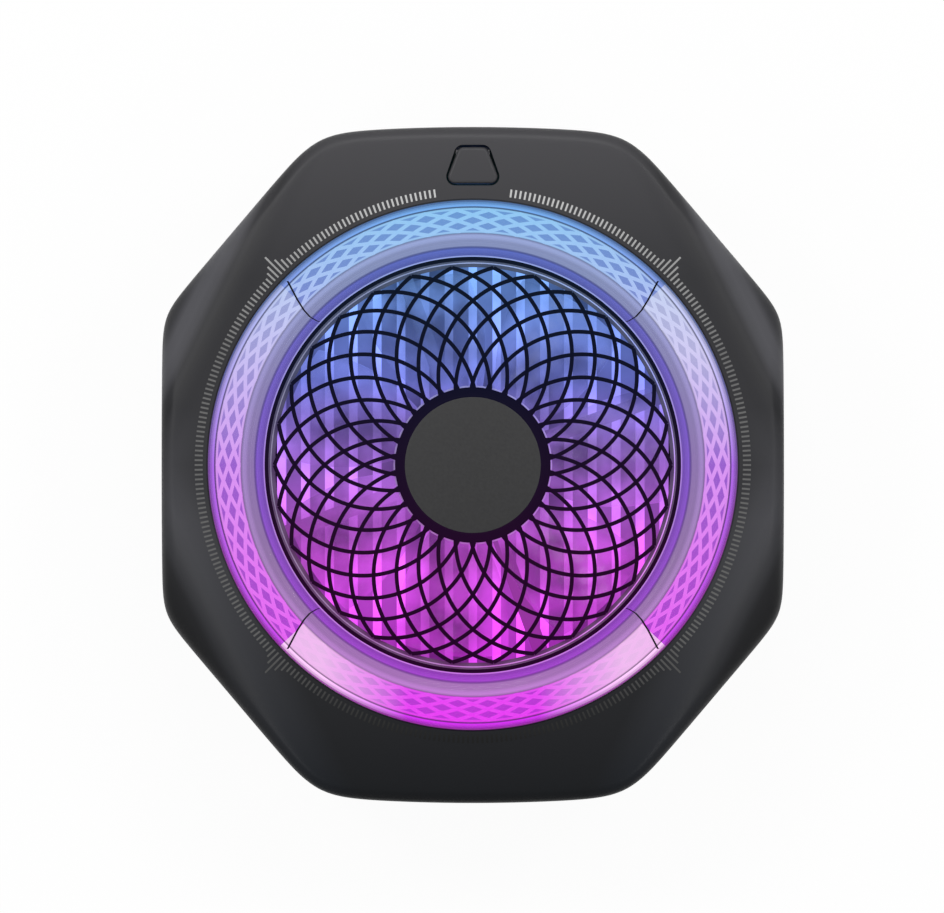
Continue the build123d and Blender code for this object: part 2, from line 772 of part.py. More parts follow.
with BuildPart() as stator_coils:
    with BuildSketch(Plane.XY.offset(core_bottom - coil_wall)):
        with PolarLocations((coil_inner + coil_outer) / 2, tooth_count):
            Rectangle(coil_outer - coil_inner, 2 * coil_half_width)
    extrude(amount=core_height + 2 * coil_wall)
    with BuildSketch(Plane.XY.offset(core_bottom - coil_gap)):
        with PolarLocations((coil_inner + coil_outer) / 2, tooth_count):
            Rectangle(2 * (coil_outer - coil_inner), core_tooth + 2 * coil_gap)
    extrude(amount=core_height + 2 * coil_gap, mode=Mode.SUBTRACT)
stator_coils.part.label = "stator_coils"
export_step(stator_coils.part, "parts/stator_coils.step")

with BuildPart() as fan_board:
    with BuildSketch(Plane.XY.offset(frame_top)):
        RegularPolygon(cup_radius - fan_board_border, motor_sides)
        RegularPolygon(tube_radius + fit, motor_sides, mode=Mode.SUBTRACT)
    extrude(amount=fan_board_thickness)
fan_board.part.label = "fan_board"
export_step(fan_board.part, "parts/fan_board.step")

# Rotor: bladed hub, steel cup, ring magnet and shaft
hub_plate = 1.1
cup_hole_gap = 0.3
magnet_lift = 0.3
shaft_cover = 0.3
cup_top = blade_top - hub_plate - thread_fit
shaft_top = blade_top - shaft_cover
shaft_bottom = frame_bottom + tube_floor + fit

# Blades: a folded sloping sheet, cut to the plan of one broad blade
blade_count = 7
blade_thickness = 0.9
blade_margin = 0.3
blade_bow = 0.8
root_half = 2.7
tip_half = 6.6
tip_lead = 2.4
lead_bow = 2.4
trail_bow = 1.2
tip_trail = (rotor_radius, tip_lead - tip_half)
tip_front = (rotor_radius, tip_lead + tip_half)
sheet_half = tip_half + tip_lead
sheet_low = blade_bottom + blade_margin
sheet_high = blade_top - blade_margin - blade_thickness
sheet_middle = (sheet_low + sheet_high) / 2 + blade_bow

with BuildPart() as blade:
    with BuildSketch(Plane(origin=(hub_radius - hub_wall / 2, 0, 0), x_dir=(0, 1, 0), z_dir=(1, 0, 0))):
        with BuildLine():
            Polyline(
                (-sheet_half, sheet_high),
                (0, sheet_middle),
                (sheet_half, sheet_low),
                (sheet_half, sheet_low + blade_thickness),
                (0, sheet_middle + blade_thickness),
                (-sheet_half, sheet_high + blade_thickness),
                close=True,
            )
        make_face()
    extrude(amount=rotor_radius)
    with BuildSketch(Plane.XY.offset(blade_bottom)):
        with BuildLine():
            Polyline((0, -root_half), (rotor_radius / 2, -root_half - trail_bow), tip_trail)
            RadiusArc(tip_trail, tip_front, -rotor_radius)
            Polyline(tip_front, (rotor_radius / 2, root_half + lead_bow), (0, root_half), (0, -root_half))
        make_face()
        RegularPolygon(rotor_radius, hub_sides * 2, mode=Mode.INTERSECT)
        Rectangle(2 * (hub_radius - hub_wall), rotor_radius, mode=Mode.SUBTRACT)
    extrude(amount=blade_height, mode=Mode.INTERSECT)

with BuildPart() as impeller:
    with BuildSketch(Plane.XY.offset(blade_bottom)):
        RegularPolygon(hub_radius, hub_sides)
    extrude(amount=blade_height)
    with PolarLocations(0, blade_count):
        add(blade.part)
    with BuildSketch(Plane.XY.offset(blade_bottom)):
        RegularPolygon(hub_radius - hub_wall, motor_sides)
    extrude(amount=blade_height - hub_plate, mode=Mode.SUBTRACT)
    with BuildSketch(Plane.XY.offset(blade_bottom)):
        RegularPolygon(shaft_radius + bearing_fit, post_sides, major_radius=False)
    extrude(amount=shaft_top - blade_bottom + bearing_fit, mode=Mode.SUBTRACT)
impeller.part.label = "impeller"
export_step(impeller.part, "parts/impeller.step")

with BuildPart() as rotor_yoke:
    with BuildSketch(Plane.XY.offset(blade_bottom)):
        RegularPolygon(cup_radius, motor_sides)
    extrude(amount=cup_top - blade_bottom)
    with BuildSketch(Plane.XY.offset(blade_bottom)):
        RegularPolygon(cup_radius - cup_wall, motor_sides)
    extrude(amount=cup_top - cup_wall - blade_bottom, mode=Mode.SUBTRACT)
    with BuildSketch(Plane.XY.offset(blade_bottom)):
        RegularPolygon(shaft_radius + cup_hole_gap, hole_sides)
    extrude(amount=blade_height, mode=Mode.SUBTRACT)
rotor_yoke.part.label = "rotor_yoke"
export_step(rotor_yoke.part, "parts/rotor_yoke.step")

with BuildPart() as rotor_magnet:
    with BuildSketch(Plane.XY.offset(blade_bottom + magnet_lift)):
        RegularPolygon(rotor_magnet_radius, motor_sides)
        RegularPolygon(rotor_magnet_radius - magnet_wall, motor_sides, mode=Mode.SUBTRACT)
    extrude(amount=cup_top - cup_wall - blade_bottom - 2 * magnet_lift)
rotor_magnet.part.label = "rotor_magnet"
export_step(rotor_magnet.part, "parts/rotor_magnet.step")

with BuildPart() as shaft:
    with BuildSketch(Plane.XY.offset(shaft_bottom)):
        Circle(shaft_radius)
    extrude(amount=shaft_top - shaft_bottom)
shaft.part.label = "shaft"
export_step(shaft.part, "parts/shaft.step")

# Grille: thirty arcs each way cross in rows of nodes, nearer the hub in each row
rib_width = 0.42
arc_count = 30
row_count = 7
arc_radius_share = 0.5037
arc_offset_share = 0.556
first_angle = 18.386
hub_border = 0.25
rim_lap = 0.3
cusp_gap = 0.255
cusp_radius = duct_radius - cusp_gap
arc_radius = arc_radius_share * cusp_radius
arc_offset = arc_offset_share * cusp_radius
half_step = 180.0 / arc_count
grille_hub_radius = hub_radius + hub_border


def node(row, turn):
    """A crossing of two arcs: its row fixes its distance from the middle."""
    angle = radians(first_angle + half_step * row)
    reach = arc_offset * cos(angle) + sqrt(arc_radius**2 - (arc_offset * sin(angle)) ** 2)
    return (reach * cos(radians(turn)), reach * sin(radians(turn)))


def cell(row):
    """The opening between four nodes; the last row runs in under the hub."""
    last = row == row_count - 1
    outer = node(row, 0)
    left = node(row + 1, half_step)
    right = node(row + 1, -half_step)
    if last:
        inner_share = grille_hub_radius / 2 / hypot(*left)
        corners = [outer, left, (left[0] * inner_share, left[1] * inner_share)]
        corners += [(right[0] * inner_share, right[1] * inner_share), right]
    else:
        corners = [outer, left, node(row + 2, 0), right]
    with BuildSketch() as opening:
        with BuildLine():
            Polyline(*corners, close=True)
        make_face()
        offset(amount=-rib_width / 2, kind=Kind.INTERSECTION)
    return opening.sketch


with BuildPart() as grille:
    with BuildSketch(Plane.XY.offset(duct_top)):
        RegularPolygon(duct_outer_radius, ring_sides)
        RegularPolygon(duct_radius - rim_lap, ring_sides, mode=Mode.SUBTRACT)
    extrude(amount=rim_height)
    with BuildSketch(Plane.XY.offset(rim_top)):
        with BuildLine():
            Polyline(*[node(k % 2, 90 + half_step * (k + 1)) for k in range(2 * arc_count)], close=True)
        make_face()
        offset(amount=rib_width / 2, kind=Kind.INTERSECTION)
        for row in range(row_count):
            start = 90 + half_step * ((row + 1) % 2)
            with PolarLocations(0, arc_count, start_angle=start):
                add(cell(row), mode=Mode.SUBTRACT)
        RegularPolygon(grille_hub_radius, 2 * arc_count)
    extrude(amount=lattice_thickness)
grille.part.label = "grille"
export_step(grille.part, "parts/grille.step")

# Bare cap on the hub of the grille
cap_border = 0.1
cap_bevel = 0.85
cap_bevel_height = 0.6
with BuildPart() as hub_cap:
    with BuildSketch(Plane.XY.offset(lattice_top)):
        RegularPolygon(grille_hub_radius - cap_border, ring_sides)
    extrude(amount=cap_height)
    chamfer(hub_cap.faces().sort_by(Axis.Z)[-1].edges(), length=cap_bevel_height, length2=cap_bevel)
hub_cap.part.label = "hub_cap"
export_step(hub_cap.part, "parts/hub_cap.step")

# Light board, its lamps and the patterned light guide under the clear ring
board_sides = 16
lamp_count = 12
lamp_side = 1.6
lamp_height = 0.7
with BuildPart() as led_board:
    with BuildSketch(Plane.XY.offset(frame_top)):
        RegularPolygon(trough_inner_radius - fit, board_sides)
        RegularPolygon(duct_outer_radius + fit, board_sides, major_radius=False, mode=Mode.SUBTRACT)
    extrude(amount=board_thickness)
led_board.part.label = "led_board"
export_step(led_board.part, "parts/led_board.step")

with BuildPart() as leds:
    with BuildSketch(Plane.XY.offset(frame_top + board_thickness)):
        with PolarLocations((duct_outer_radius + trough_inner_radius) / 2, lamp_count):
            Rectangle(lamp_side, lamp_side)
    extrude(amount=lamp_height)
leds.part.label = "leds"
export_step(leds.part, "parts/leds.step")

with BuildPart() as lattice_diffuser:
    with BuildSketch(Plane.XY.offset(diffuser_bottom)):
        RegularPolygon(ring_outer_radius, ring_sides)
        RegularPolygon(duct_outer_radius + ring_gap, ring_sides, mode=Mode.SUBTRACT)
    extrude(amount=diffuser_thickness)
lattice_diffuser.part.label = "lattice_diffuser"
export_step(lattice_diffuser.part, "parts/lattice_diffuser.step")

# Clear ring in four segments with bent seams
window_share = 0.575
window_drop = 0.55
inner_drop = 2.4
side_drop = 0.25
seam_gap = 0.12
seam_inner_angle = 46.0
seam_middle_angle = 48.1
seam_outer_angle = 45.3
seam_middle_share = 0.385
window_radius = ring_outer_radius - window_share * ring_width


def ring_body(drop):
    """The whole clear ring; its hollow dips to the grille, a little lower in the side segments."""
    with BuildPart() as ring:
        with BuildSketch(Plane.XY.offset(ring_bottom)):
            RegularPolygon(ring_outer_radius, ring_sides)
            RegularPolygon(ring_inner_radius, ring_sides, mode=Mode.SUBTRACT)
        extrude(amount=ring_height)
        with BuildSketch(Plane.XY.offset(ring_top - inner_drop)):
            RegularPolygon(ring_inner_radius, ring_sides)
        with BuildSketch(Plane.XY.offset(ring_top - window_drop - drop)):
            RegularPolygon(window_radius, ring_sides)
        with BuildSketch(Plane.XY.offset(ring_top + fit)):
            RegularPolygon(ring_outer_radius, ring_sides)
        loft(ruled=True, mode=Mode.SUBTRACT)
    return ring.part


def seam_sector(gap_side):
    """The part of the plan above the two upper seams, grown or shrunk by the seam gap."""
    shift = gap_side * degrees(seam_gap / 2 / ring_outer_radius)
    seam_middle = ring_inner_radius + seam_middle_share * ring_width
    inner = ring_inner_radius - overrun
    outer = ring_outer_radius + overrun
    places = ((inner, seam_inner_angle), (seam_middle, seam_middle_angle), (outer, seam_outer_angle))
    right = [(r * sin(radians(t + shift)), r * cos(radians(t + shift))) for r, t in places]
    left = [(-x, y) for x, y in right]
    with BuildSketch() as sector:
        with BuildLine():
            Polyline(*right, (outer, outer), (-outer, outer), *reversed(left), close=True)
        make_face()
    return sector.sketch


upper_ring = ring_body(0)
side_ring = ring_body(side_drop)
narrow_sector = seam_sector(-1)
wide_sector = seam_sector(1)
for name, turn in (("ring_segment_top", 0), ("ring_segment_bottom", 180)):
    with BuildPart() as segment:
        with BuildSketch(Plane.XY.offset(ring_bottom - overrun)):
            add(narrow_sector.rotate(Axis.Z, turn))
        extrude(amount=ring_height + 2 * overrun)
        add(upper_ring, mode=Mode.INTERSECT)
    segment.part.label = name
    export_step(segment.part, f"parts/{name}.step")
for name, sign in (("ring_segment_left", -1), ("ring_segment_right", 1)):
    with BuildPart() as segment:
        with BuildSketch(Plane.XY.offset(ring_bottom - overrun)):
            with Locations((sign * half_width, 0)):
                Rectangle(2 * half_width, 2 * half_width)
            add(wide_sector, mode=Mode.SUBTRACT)
            add(wide_sector.rotate(Axis.Z, 180), mode=Mode.SUBTRACT)
        extrude(amount=ring_height + 2 * overrun)
        add(side_ring, mode=Mode.INTERSECT)
    segment.part.label = name
    export_step(segment.part, f"parts/{name}.step")

# Mode button with its flange and stem, and the switch under it
with BuildPart() as mode_button:
    with BuildSketch(Plane.XY.offset(stem_top)):
        with Locations((0, button_y)):
            Rectangle(button_base + 2 * button_flange, button_depth)
    extrude(amount=button_flange_height)
    with BuildSketch(Plane.XY.offset(button_flange_top)):
        add(button_outline(0))
    extrude(amount=face_height + button_proud - button_flange_top)
    chamfer(mode_button.faces().sort_by(Axis.Z)[-1].edges(), length=button_edge)
    with BuildSketch(Plane.XY.offset(stem_bottom)):
        with Locations((0, button_y)):
            RegularPolygon(stem_radius, post_sides)
    extrude(amount=stem_length)
mode_button.part.label = "mode_button"
export_step(mode_button.part, "parts/mode_button.step")

plunger_depth = plunger_height + thread_fit
with BuildPart() as switch_plunger:
    with BuildSketch(Plane.XY.offset(switch_top - plunger_depth)):
        with Locations((0, button_y)):
            RegularPolygon(plunger_radius, post_sides)
    extrude(amount=plunger_height + plunger_depth)
switch_plunger.part.label = "switch_plunger"
export_step(switch_plunger.part, "parts/switch_plunger.step")

with BuildPart() as tact_switch:
    with BuildSketch(Plane.XY.offset(button_board_top)):
        with Locations((0, button_y)):
            Rectangle(switch_side, switch_side)
    extrude(amount=switch_height)
    with BuildSketch(Plane.XY.offset(switch_top)):
        with Locations((0, button_y)):
            RegularPolygon(plunger_radius + thread_fit, post_sides)
    extrude(amount=-(plunger_depth + button_travel + thread_fit), mode=Mode.SUBTRACT)
tact_switch.part.label = "tact_switch"
export_step(tact_switch.part, "parts/tact_switch.step")

with BuildPart() as button_board:
    with BuildSketch(Plane.XY.offset(button_board_top)):
        with Locations((0, button_y)):
            Rectangle(button_board_length, button_board_width)
    extrude(amount=-small_board)
button_board.part.label = "button_board"
export_step(button_board.part, "parts/button_board.step")
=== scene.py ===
# %% [markdown]
# A phone cooling fan, seen straight from the front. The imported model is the
# fixed frame: every piece made here takes its size and place from its nodes.

# %% Load the frame
from math import atan2, cos, hypot, pi, radians, sin, sqrt, tan

import bpy
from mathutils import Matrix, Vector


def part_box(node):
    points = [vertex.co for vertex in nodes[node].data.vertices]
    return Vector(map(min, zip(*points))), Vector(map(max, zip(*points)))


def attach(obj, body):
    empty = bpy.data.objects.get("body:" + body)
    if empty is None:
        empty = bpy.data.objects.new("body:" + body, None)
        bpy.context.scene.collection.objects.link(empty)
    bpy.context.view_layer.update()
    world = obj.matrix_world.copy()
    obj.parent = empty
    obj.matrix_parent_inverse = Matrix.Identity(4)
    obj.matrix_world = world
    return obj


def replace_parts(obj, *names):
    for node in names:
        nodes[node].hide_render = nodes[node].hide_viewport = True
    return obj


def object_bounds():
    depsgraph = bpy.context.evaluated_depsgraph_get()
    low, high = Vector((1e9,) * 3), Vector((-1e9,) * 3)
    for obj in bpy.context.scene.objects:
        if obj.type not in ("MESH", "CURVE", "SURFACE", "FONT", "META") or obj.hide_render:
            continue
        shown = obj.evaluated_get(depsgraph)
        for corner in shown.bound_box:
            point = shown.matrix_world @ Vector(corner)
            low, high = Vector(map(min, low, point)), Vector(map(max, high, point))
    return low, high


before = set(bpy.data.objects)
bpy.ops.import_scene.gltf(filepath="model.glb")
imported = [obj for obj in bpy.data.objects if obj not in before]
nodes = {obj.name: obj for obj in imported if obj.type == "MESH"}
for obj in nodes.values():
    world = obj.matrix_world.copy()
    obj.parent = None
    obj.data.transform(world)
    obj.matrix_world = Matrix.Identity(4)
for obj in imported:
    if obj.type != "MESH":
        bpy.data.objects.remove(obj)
cad_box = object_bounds()
mm = 0.001
print("CAD nodes:", len(nodes))

# %% [markdown]
# The main sizes are read from the boxes of the nodes, in metres. The housing
# gives the outline, the ring gives the bore, and the grille gives its heights.

# %% Sizes from the frame
half_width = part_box("front_shell")[1].x
half_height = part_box("front_shell")[1].y
face_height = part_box("front_shell")[1].z
split_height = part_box("rear_shell")[1].z
ring_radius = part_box("lattice_diffuser")[1].x
guide_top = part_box("lattice_diffuser")[1].z
guide_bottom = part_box("lattice_diffuser")[0].z
rim_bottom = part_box("grille")[0].z
grille_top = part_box("grille")[1].z
rim_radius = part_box("grille")[1].x
rotor_low, rotor_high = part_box("impeller")[0].z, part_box("impeller")[1].z
button_low, button_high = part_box("mode_button")
wall = 1.6 * mm
lattice_height = 0.8 * mm
rim_top = grille_top - lattice_height
round_sides = 240
print("half width", half_width, "half height", half_height, "face", face_height)


# %% [markdown]
# Small tools for modelling as by hand. An operator works on everything that is
# selected, so the selection is cleared before each new piece.

# %% Modelling helpers
weld_distance = 0.001 * mm
smooth_angle = radians(30)
corner_angle = radians(50)


def start_clean():
    """Nothing selected and nothing active."""
    for each in list(bpy.context.selected_objects):
        each.select_set(False)
    bpy.context.view_layer.objects.active = None


def activate(piece):
    """This piece alone is selected and active."""
    start_clean()
    piece.select_set(True)
    bpy.context.view_layer.objects.active = piece


def settle(piece):
    """Welds the piece, turns its faces outwards and smooths it by angle."""
    activate(piece)
    bpy.ops.object.transform_apply(location=True, rotation=True, scale=True)
    bpy.ops.object.mode_set(mode="EDIT")
    bpy.ops.mesh.select_all(action="SELECT")
    bpy.ops.mesh.remove_doubles(threshold=weld_distance)
    bpy.ops.mesh.normals_make_consistent(inside=False)
    bpy.ops.object.mode_set(mode="OBJECT")
    bpy.ops.object.shade_smooth_by_angle(angle=smooth_angle)
    return piece


def apply_modifier(piece, kind, **settings):
    """Adds one modifier with its settings and applies it."""
    activate(piece)
    modifier = piece.modifiers.new(kind.title(), kind)
    for key, value in settings.items():
        setattr(modifier, key, value)
    bpy.ops.object.modifier_apply(modifier=modifier.name)


def bevel(piece, width, segments=2):
    """Rounds the sharp edges of the piece."""
    limit = {"limit_method": "ANGLE", "angle_limit": corner_angle}
    apply_modifier(piece, "BEVEL", width=width, segments=segments, **limit)


def turned(name, profile, sides=round_sides, closed=True):
    """A body of revolution: a circle extruded from one profile point to the next."""
    start_clean()
    radius, height = profile[0]
    bpy.ops.mesh.primitive_circle_add(vertices=sides, radius=radius, location=(0, 0, height))
    piece = bpy.context.object
    piece.name = name
    bpy.ops.object.transform_apply(location=True)
    bpy.ops.object.mode_set(mode="EDIT")
    bpy.ops.mesh.select_all(action="SELECT")
    if not closed:
        bpy.ops.mesh.edge_face_add()
        bpy.ops.mesh.select_all(action="SELECT")
    for next_radius, next_height in profile[1:] + (profile[:1] if closed else []):
        move = {"value": (0, 0, next_height - height)}
        if closed:
            bpy.ops.mesh.extrude_edges_move(TRANSFORM_OT_translate=move)
        else:
            bpy.ops.mesh.extrude_region_move(TRANSFORM_OT_translate=move)
        grow = next_radius / radius
        bpy.ops.transform.resize(value=(grow, grow, 1), center_override=(0, 0, next_height))
        radius, height = next_radius, next_height
    bpy.ops.object.mode_set(mode="OBJECT")
    return settle(piece)


def flat_ring(name, outer, inner, bottom, top):
    """A plain ring with a rectangular section."""
    return turned(name, [(outer, bottom), (outer, top), (inner, top), (inner, bottom)])


def strip(start, end, half):
    """The plan of a straight strip along X."""
    return [(start, -half), (end, -half), (end, half), (start, half)]


def prism(name, points, bottom, top):
    """A straight block: a filled circle whose corners move to the outline, extruded."""
    start_clean()
    bpy.ops.mesh.primitive_circle_add(vertices=len(points), radius=mm, fill_type="NGON")
    piece = bpy.context.object
    piece.name = name
    for vertex, (x, y) in zip(piece.data.vertices, points):
        vertex.co = (x, y, bottom)
    bpy.ops.object.mode_set(mode="EDIT")
    bpy.ops.mesh.select_all(action="SELECT")
    bpy.ops.mesh.extrude_region_move(TRANSFORM_OT_translate={"value": (0, 0, top - bottom)})
    bpy.ops.object.mode_set(mode="OBJECT")
    return settle(piece)


def boolean(piece, tool, operation):
    """Cuts or trims the piece with a tool, which is then deleted."""
    apply_modifier(piece, "BOOLEAN", operation=operation, solver="EXACT", object=tool)
    bpy.data.objects.remove(tool)
    return settle(piece)


def rounded(corners, radius, steps=8):
    """The points of a flat outline with every corner rounded by an arc."""
    points = []
    for k, (cx, cy) in enumerate(corners):
        px, py = corners[k - 1]
        nx, ny = corners[(k + 1) % len(corners)]
        back = atan2(py - cy, px - cx)
        onward = atan2(ny - cy, nx - cx)
        half = abs((onward - back + pi) % (2 * pi) - pi) / 2
        reach = radius / tan(half)
        middle = atan2(sin(back) + sin(onward), cos(back) + cos(onward))
        ox = cx + radius / sin(half) * cos(middle)
        oy = cy + radius / sin(half) * sin(middle)
        first = atan2(cy + reach * sin(back) - oy, cx + reach * cos(back) - ox)
        last = atan2(cy + reach * sin(onward) - oy, cx + reach * cos(onward) - ox)
        sweep = (last - first + pi) % (2 * pi) - pi
        for step in range(steps + 1):
            angle = first + sweep * step / steps
            points.append((ox + radius * cos(angle), oy + radius * sin(angle)))
    return points


def copies(piece, places):
    """Puts a piece at the first (x, y, turn), and joins copies at the other ones to it."""
    twins = [piece]
    for _ in places[1:]:
        twin = piece.copy()
        twin.data = piece.data.copy()
        bpy.context.scene.collection.objects.link(twin)
        twins.append(twin)
    for twin, (x, y, turn) in zip(twins, places):
        twin.location = (x, y, 0)
        twin.rotation_euler = (0, 0, turn)
    activate(piece)
    for twin in twins:
        twin.select_set(True)
    bpy.ops.object.join()
    return settle(piece)


def copies_round(piece, turns):
    """Joins copies of a piece at these turns about the fan's axis."""
    return copies(piece, [(0, 0, turn) for turn in turns])


def full_circle(count, first=0.0):
    """Equal turns round the axis."""
    return [first + 2 * pi * k / count for k in range(count)]


# %% [markdown]
# Finishes. Every finish is a small node tree on Object coordinates, so it stays
# on the piece in any view. The class keeps one material and adds its nodes.

# %% Material helpers
class Finish:
    """A material with a Principled shader and short ways to add nodes."""

    def __init__(self, name, colour, roughness, metallic=0.0):
        self.material = bpy.data.materials.new(name)
        self.material.use_nodes = True
        self.tree = self.material.node_tree
        self.shader = self.tree.nodes["Principled BSDF"]
        self.fix("Base Color", (*colour, 1))
        self.fix("Roughness", roughness)
        self.fix("Metallic", metallic)
        self.place = self.tree.nodes.new("ShaderNodeTexCoord").outputs["Object"]

    def node(self, kind, inputs=None, **settings):
        """A new node; inputs is a dict of socket name or number to value or socket."""
        made = self.tree.nodes.new(kind)
        for key, value in settings.items():
            setattr(made, key, value)
        for key, value in (inputs or {}).items():
            if isinstance(value, bpy.types.NodeSocket):
                self.tree.links.new(value, made.inputs[key])
            else:
                made.inputs[key].default_value = value
        return made

    def maths(self, operation, first, second=0.0):
        """One step of arithmetic."""
        return self.node("ShaderNodeMath", {0: first, 1: second}, operation=operation).outputs[0]

    def times(self, first, second):
        """A product."""
        return self.maths("MULTIPLY", first, second)

    def axis(self, name):
        """One coordinate of the point, in metres."""
        return self.node("ShaderNodeSeparateXYZ", {0: self.place}).outputs[name]

    def span(self, value, low, high, bottom=0.0, top=1.0):
        """A value from low to high becomes one from bottom to top."""
        inputs = {0: value, 1: low, 2: high, 3: bottom, 4: top}
        return self.node("ShaderNodeMapRange", inputs).outputs[0]

    def ramp(self, value, places, colours):
        """A colour ramp over a value, with one colour at each place."""
        low, high = places[0], places[-1]
        made = self.node("ShaderNodeValToRGB", {0: self.span(value, low, high)})
        stops = made.color_ramp.elements
        for where in places[1:-1]:
            stops.new((where - low) / (high - low))
        for stop, colour in zip(stops, colours):
            stop.color = (*colour, 1)
        return made.outputs[0]

    def mix(self, share, first, second, blend="MIX"):
        """One colour laid over another."""
        inputs = {0: share}
        for key, colour in ((6, first), (7, second)):
            inputs[key] = colour if isinstance(colour, bpy.types.NodeSocket) else (*colour, 1)
        return self.node("ShaderNodeMix", inputs, data_type="RGBA", blend_type=blend).outputs[2]

    def link(self, socket, name):
        """Feeds a socket of the shader."""
        self.tree.links.new(socket, self.shader.inputs[name])

    def fix(self, name, value):
        """Sets a socket of the shader to a constant."""
        self.shader.inputs[name].default_value = value

    def grain(self, scale, depth_mm):
        """A fine moulded grain as bump."""
        noise = self.node("ShaderNodeTexNoise", {"Vector": self.place, "Scale": scale, "Detail": 4.0})
        inputs = {"Height": noise.outputs[0], "Distance": depth_mm * mm, "Strength": 0.6}
        self.link(self.node("ShaderNodeBump", inputs).outputs[0], "Normal")
        return noise.outputs[0]


def plain_finish(name, colour, roughness, metallic=0.0, grain_scale=3000.0, depth_mm=0.02):
    """A finish with fine grain and a slight cloudiness of its colour and gloss."""
    made = Finish(name, colour, roughness, metallic)
    noise = made.grain(grain_scale, depth_mm)
    soft = tuple(min(1.0, channel * 1.25) for channel in colour)
    made.link(made.mix(noise, tuple(channel * 0.8 for channel in colour), soft), "Base Color")
    made.link(made.span(noise, 0.0, 1.0, roughness * 0.85, roughness * 1.15), "Roughness")
    return made


def dress(piece, finish):
    """Gives a piece this finish and no other."""
    piece.data.materials.clear()
    piece.data.materials.append(finish.material)
    return piece


# %% [markdown]
# The housing is black plastic with a soft satin skin: dark, with a broad faint
# sheen and a grain too fine to see as dots. Its colour is painted greyer at the
# button's end and on the flat face as painted light, and painted darker where the
# facets and the outer edge fall away as painted shade.

# %% Housing finish
housing_low = (0.0005, 0.0015, 0.003)
housing_mid = (0.036, 0.036, 0.040)
housing_high = (0.077, 0.076, 0.082)
housing_black = Finish("housing_black", housing_mid, 0.36)
housing_black.fix("Specular IOR Level", 0.12)
housing_cloud = housing_black.grain(6000.0, 0.008)
# Painted light and shade: the colour is painted darker towards the bottom and greyer towards the
# button's end.
housing_painted_shading = housing_black.ramp(
    housing_black.axis("Y"),
    (-half_height, 0, 20 * mm, half_height),
    (housing_low, housing_mid, housing_mid, housing_high),
)
# Painted shade: the colour is painted darker where the facets and the outer edge fall away.
fall_mm = (-3.4, -2.2, -1.1, -0.35, 0)
fall_shade_shares = (0.7, 0.62, 0.62, 0.7, 0.76)
painted_fall_shade = housing_black.ramp(
    housing_black.axis("Z"),
    [face_height + each * mm for each in fall_mm],
    [(share,) * 3 for share in fall_shade_shares],
)
housing_painted_shading = housing_black.mix(1.0, housing_painted_shading, painted_fall_shade, "MULTIPLY")

# %% [markdown]
# Each facet starts at a soft crease, and a highlight is painted along it: on the
# upper facets just past it, on the lower ones just before it. The distance past
# the crease is worked out from the sizes of X and Y, so one crease serves all four
# corners. Only the face and the facets show the painted highlight, not the side walls.

# %% Painted highlights at the creases
crease_start = (half_width, 0.14 * half_height)
crease_end = (0.576 * half_width, 0.926 * half_height)
crease_run = crease_start[0] - crease_end[0]
crease_rise = crease_end[1] - crease_start[1]
crease_length = hypot(crease_run, crease_rise)
crease_place = (crease_start[0] * crease_rise + crease_start[1] * crease_run) / crease_length
# Painted highlight and shade: how much lighter or darker the colour is painted at each distance past
# the crease.
beyond_mm = (-5.5, -3, -1.2, -0.4, 0.4, 1.1, 1.9, 2.7, 3.4, 4.2)
upper_highlight_shares = (1, 1, 0.88, 0.68, 1.0, 2.6, 3.5, 3.4, 1.8, 0.8)
lower_highlight_shares = (1, 2.0, 2.4, 2.2, 1.9, 1.7, 0.9, 0.7, 0.6, 0.6)
across = housing_black.maths("ABSOLUTE", housing_black.axis("X"))
along = housing_black.maths("ABSOLUTE", housing_black.axis("Y"))
beyond = housing_black.maths(
    "ADD",
    housing_black.times(across, crease_rise / crease_length),
    housing_black.times(along, crease_run / crease_length),
)


def painted_crease_light(shares):
    """A painted highlight level that changes with the distance past the crease."""
    places = [crease_place + each * mm for each in beyond_mm]
    tones = [(share / max(shares),) * 3 for share in shares]
    level = housing_black.ramp(beyond, places, tones)
    return housing_black.times(level, float(max(shares)))


upper_half = housing_black.span(housing_black.axis("Y"), -6 * mm, 6 * mm)
painted_crease_level = housing_black.mix(upper_half, painted_crease_light(lower_highlight_shares), painted_crease_light(upper_highlight_shares))
on_face = housing_black.span(housing_black.axis("Z"), face_height - 3.4 * mm, face_height - 2.4 * mm)
painted_crease_level = housing_black.mix(on_face, (1, 1, 1), painted_crease_level)
housing_painted_shading = housing_black.mix(1.0, housing_painted_shading, painted_crease_level, "MULTIPLY")
housing_tint = housing_black.mix(housing_cloud, housing_painted_shading, housing_mid)
housing_black.link(housing_black.mix(0.06, housing_painted_shading, housing_tint), "Base Color")

# %% [markdown]
# The ring is lit from inside by coloured lamps. One scale of colours runs from
# the button's end to the far end, and every glowing finish has its own such
# scale: bright net lines, deeper diamonds, a calm band, a deep slope, and the
# painted glow of the fan.

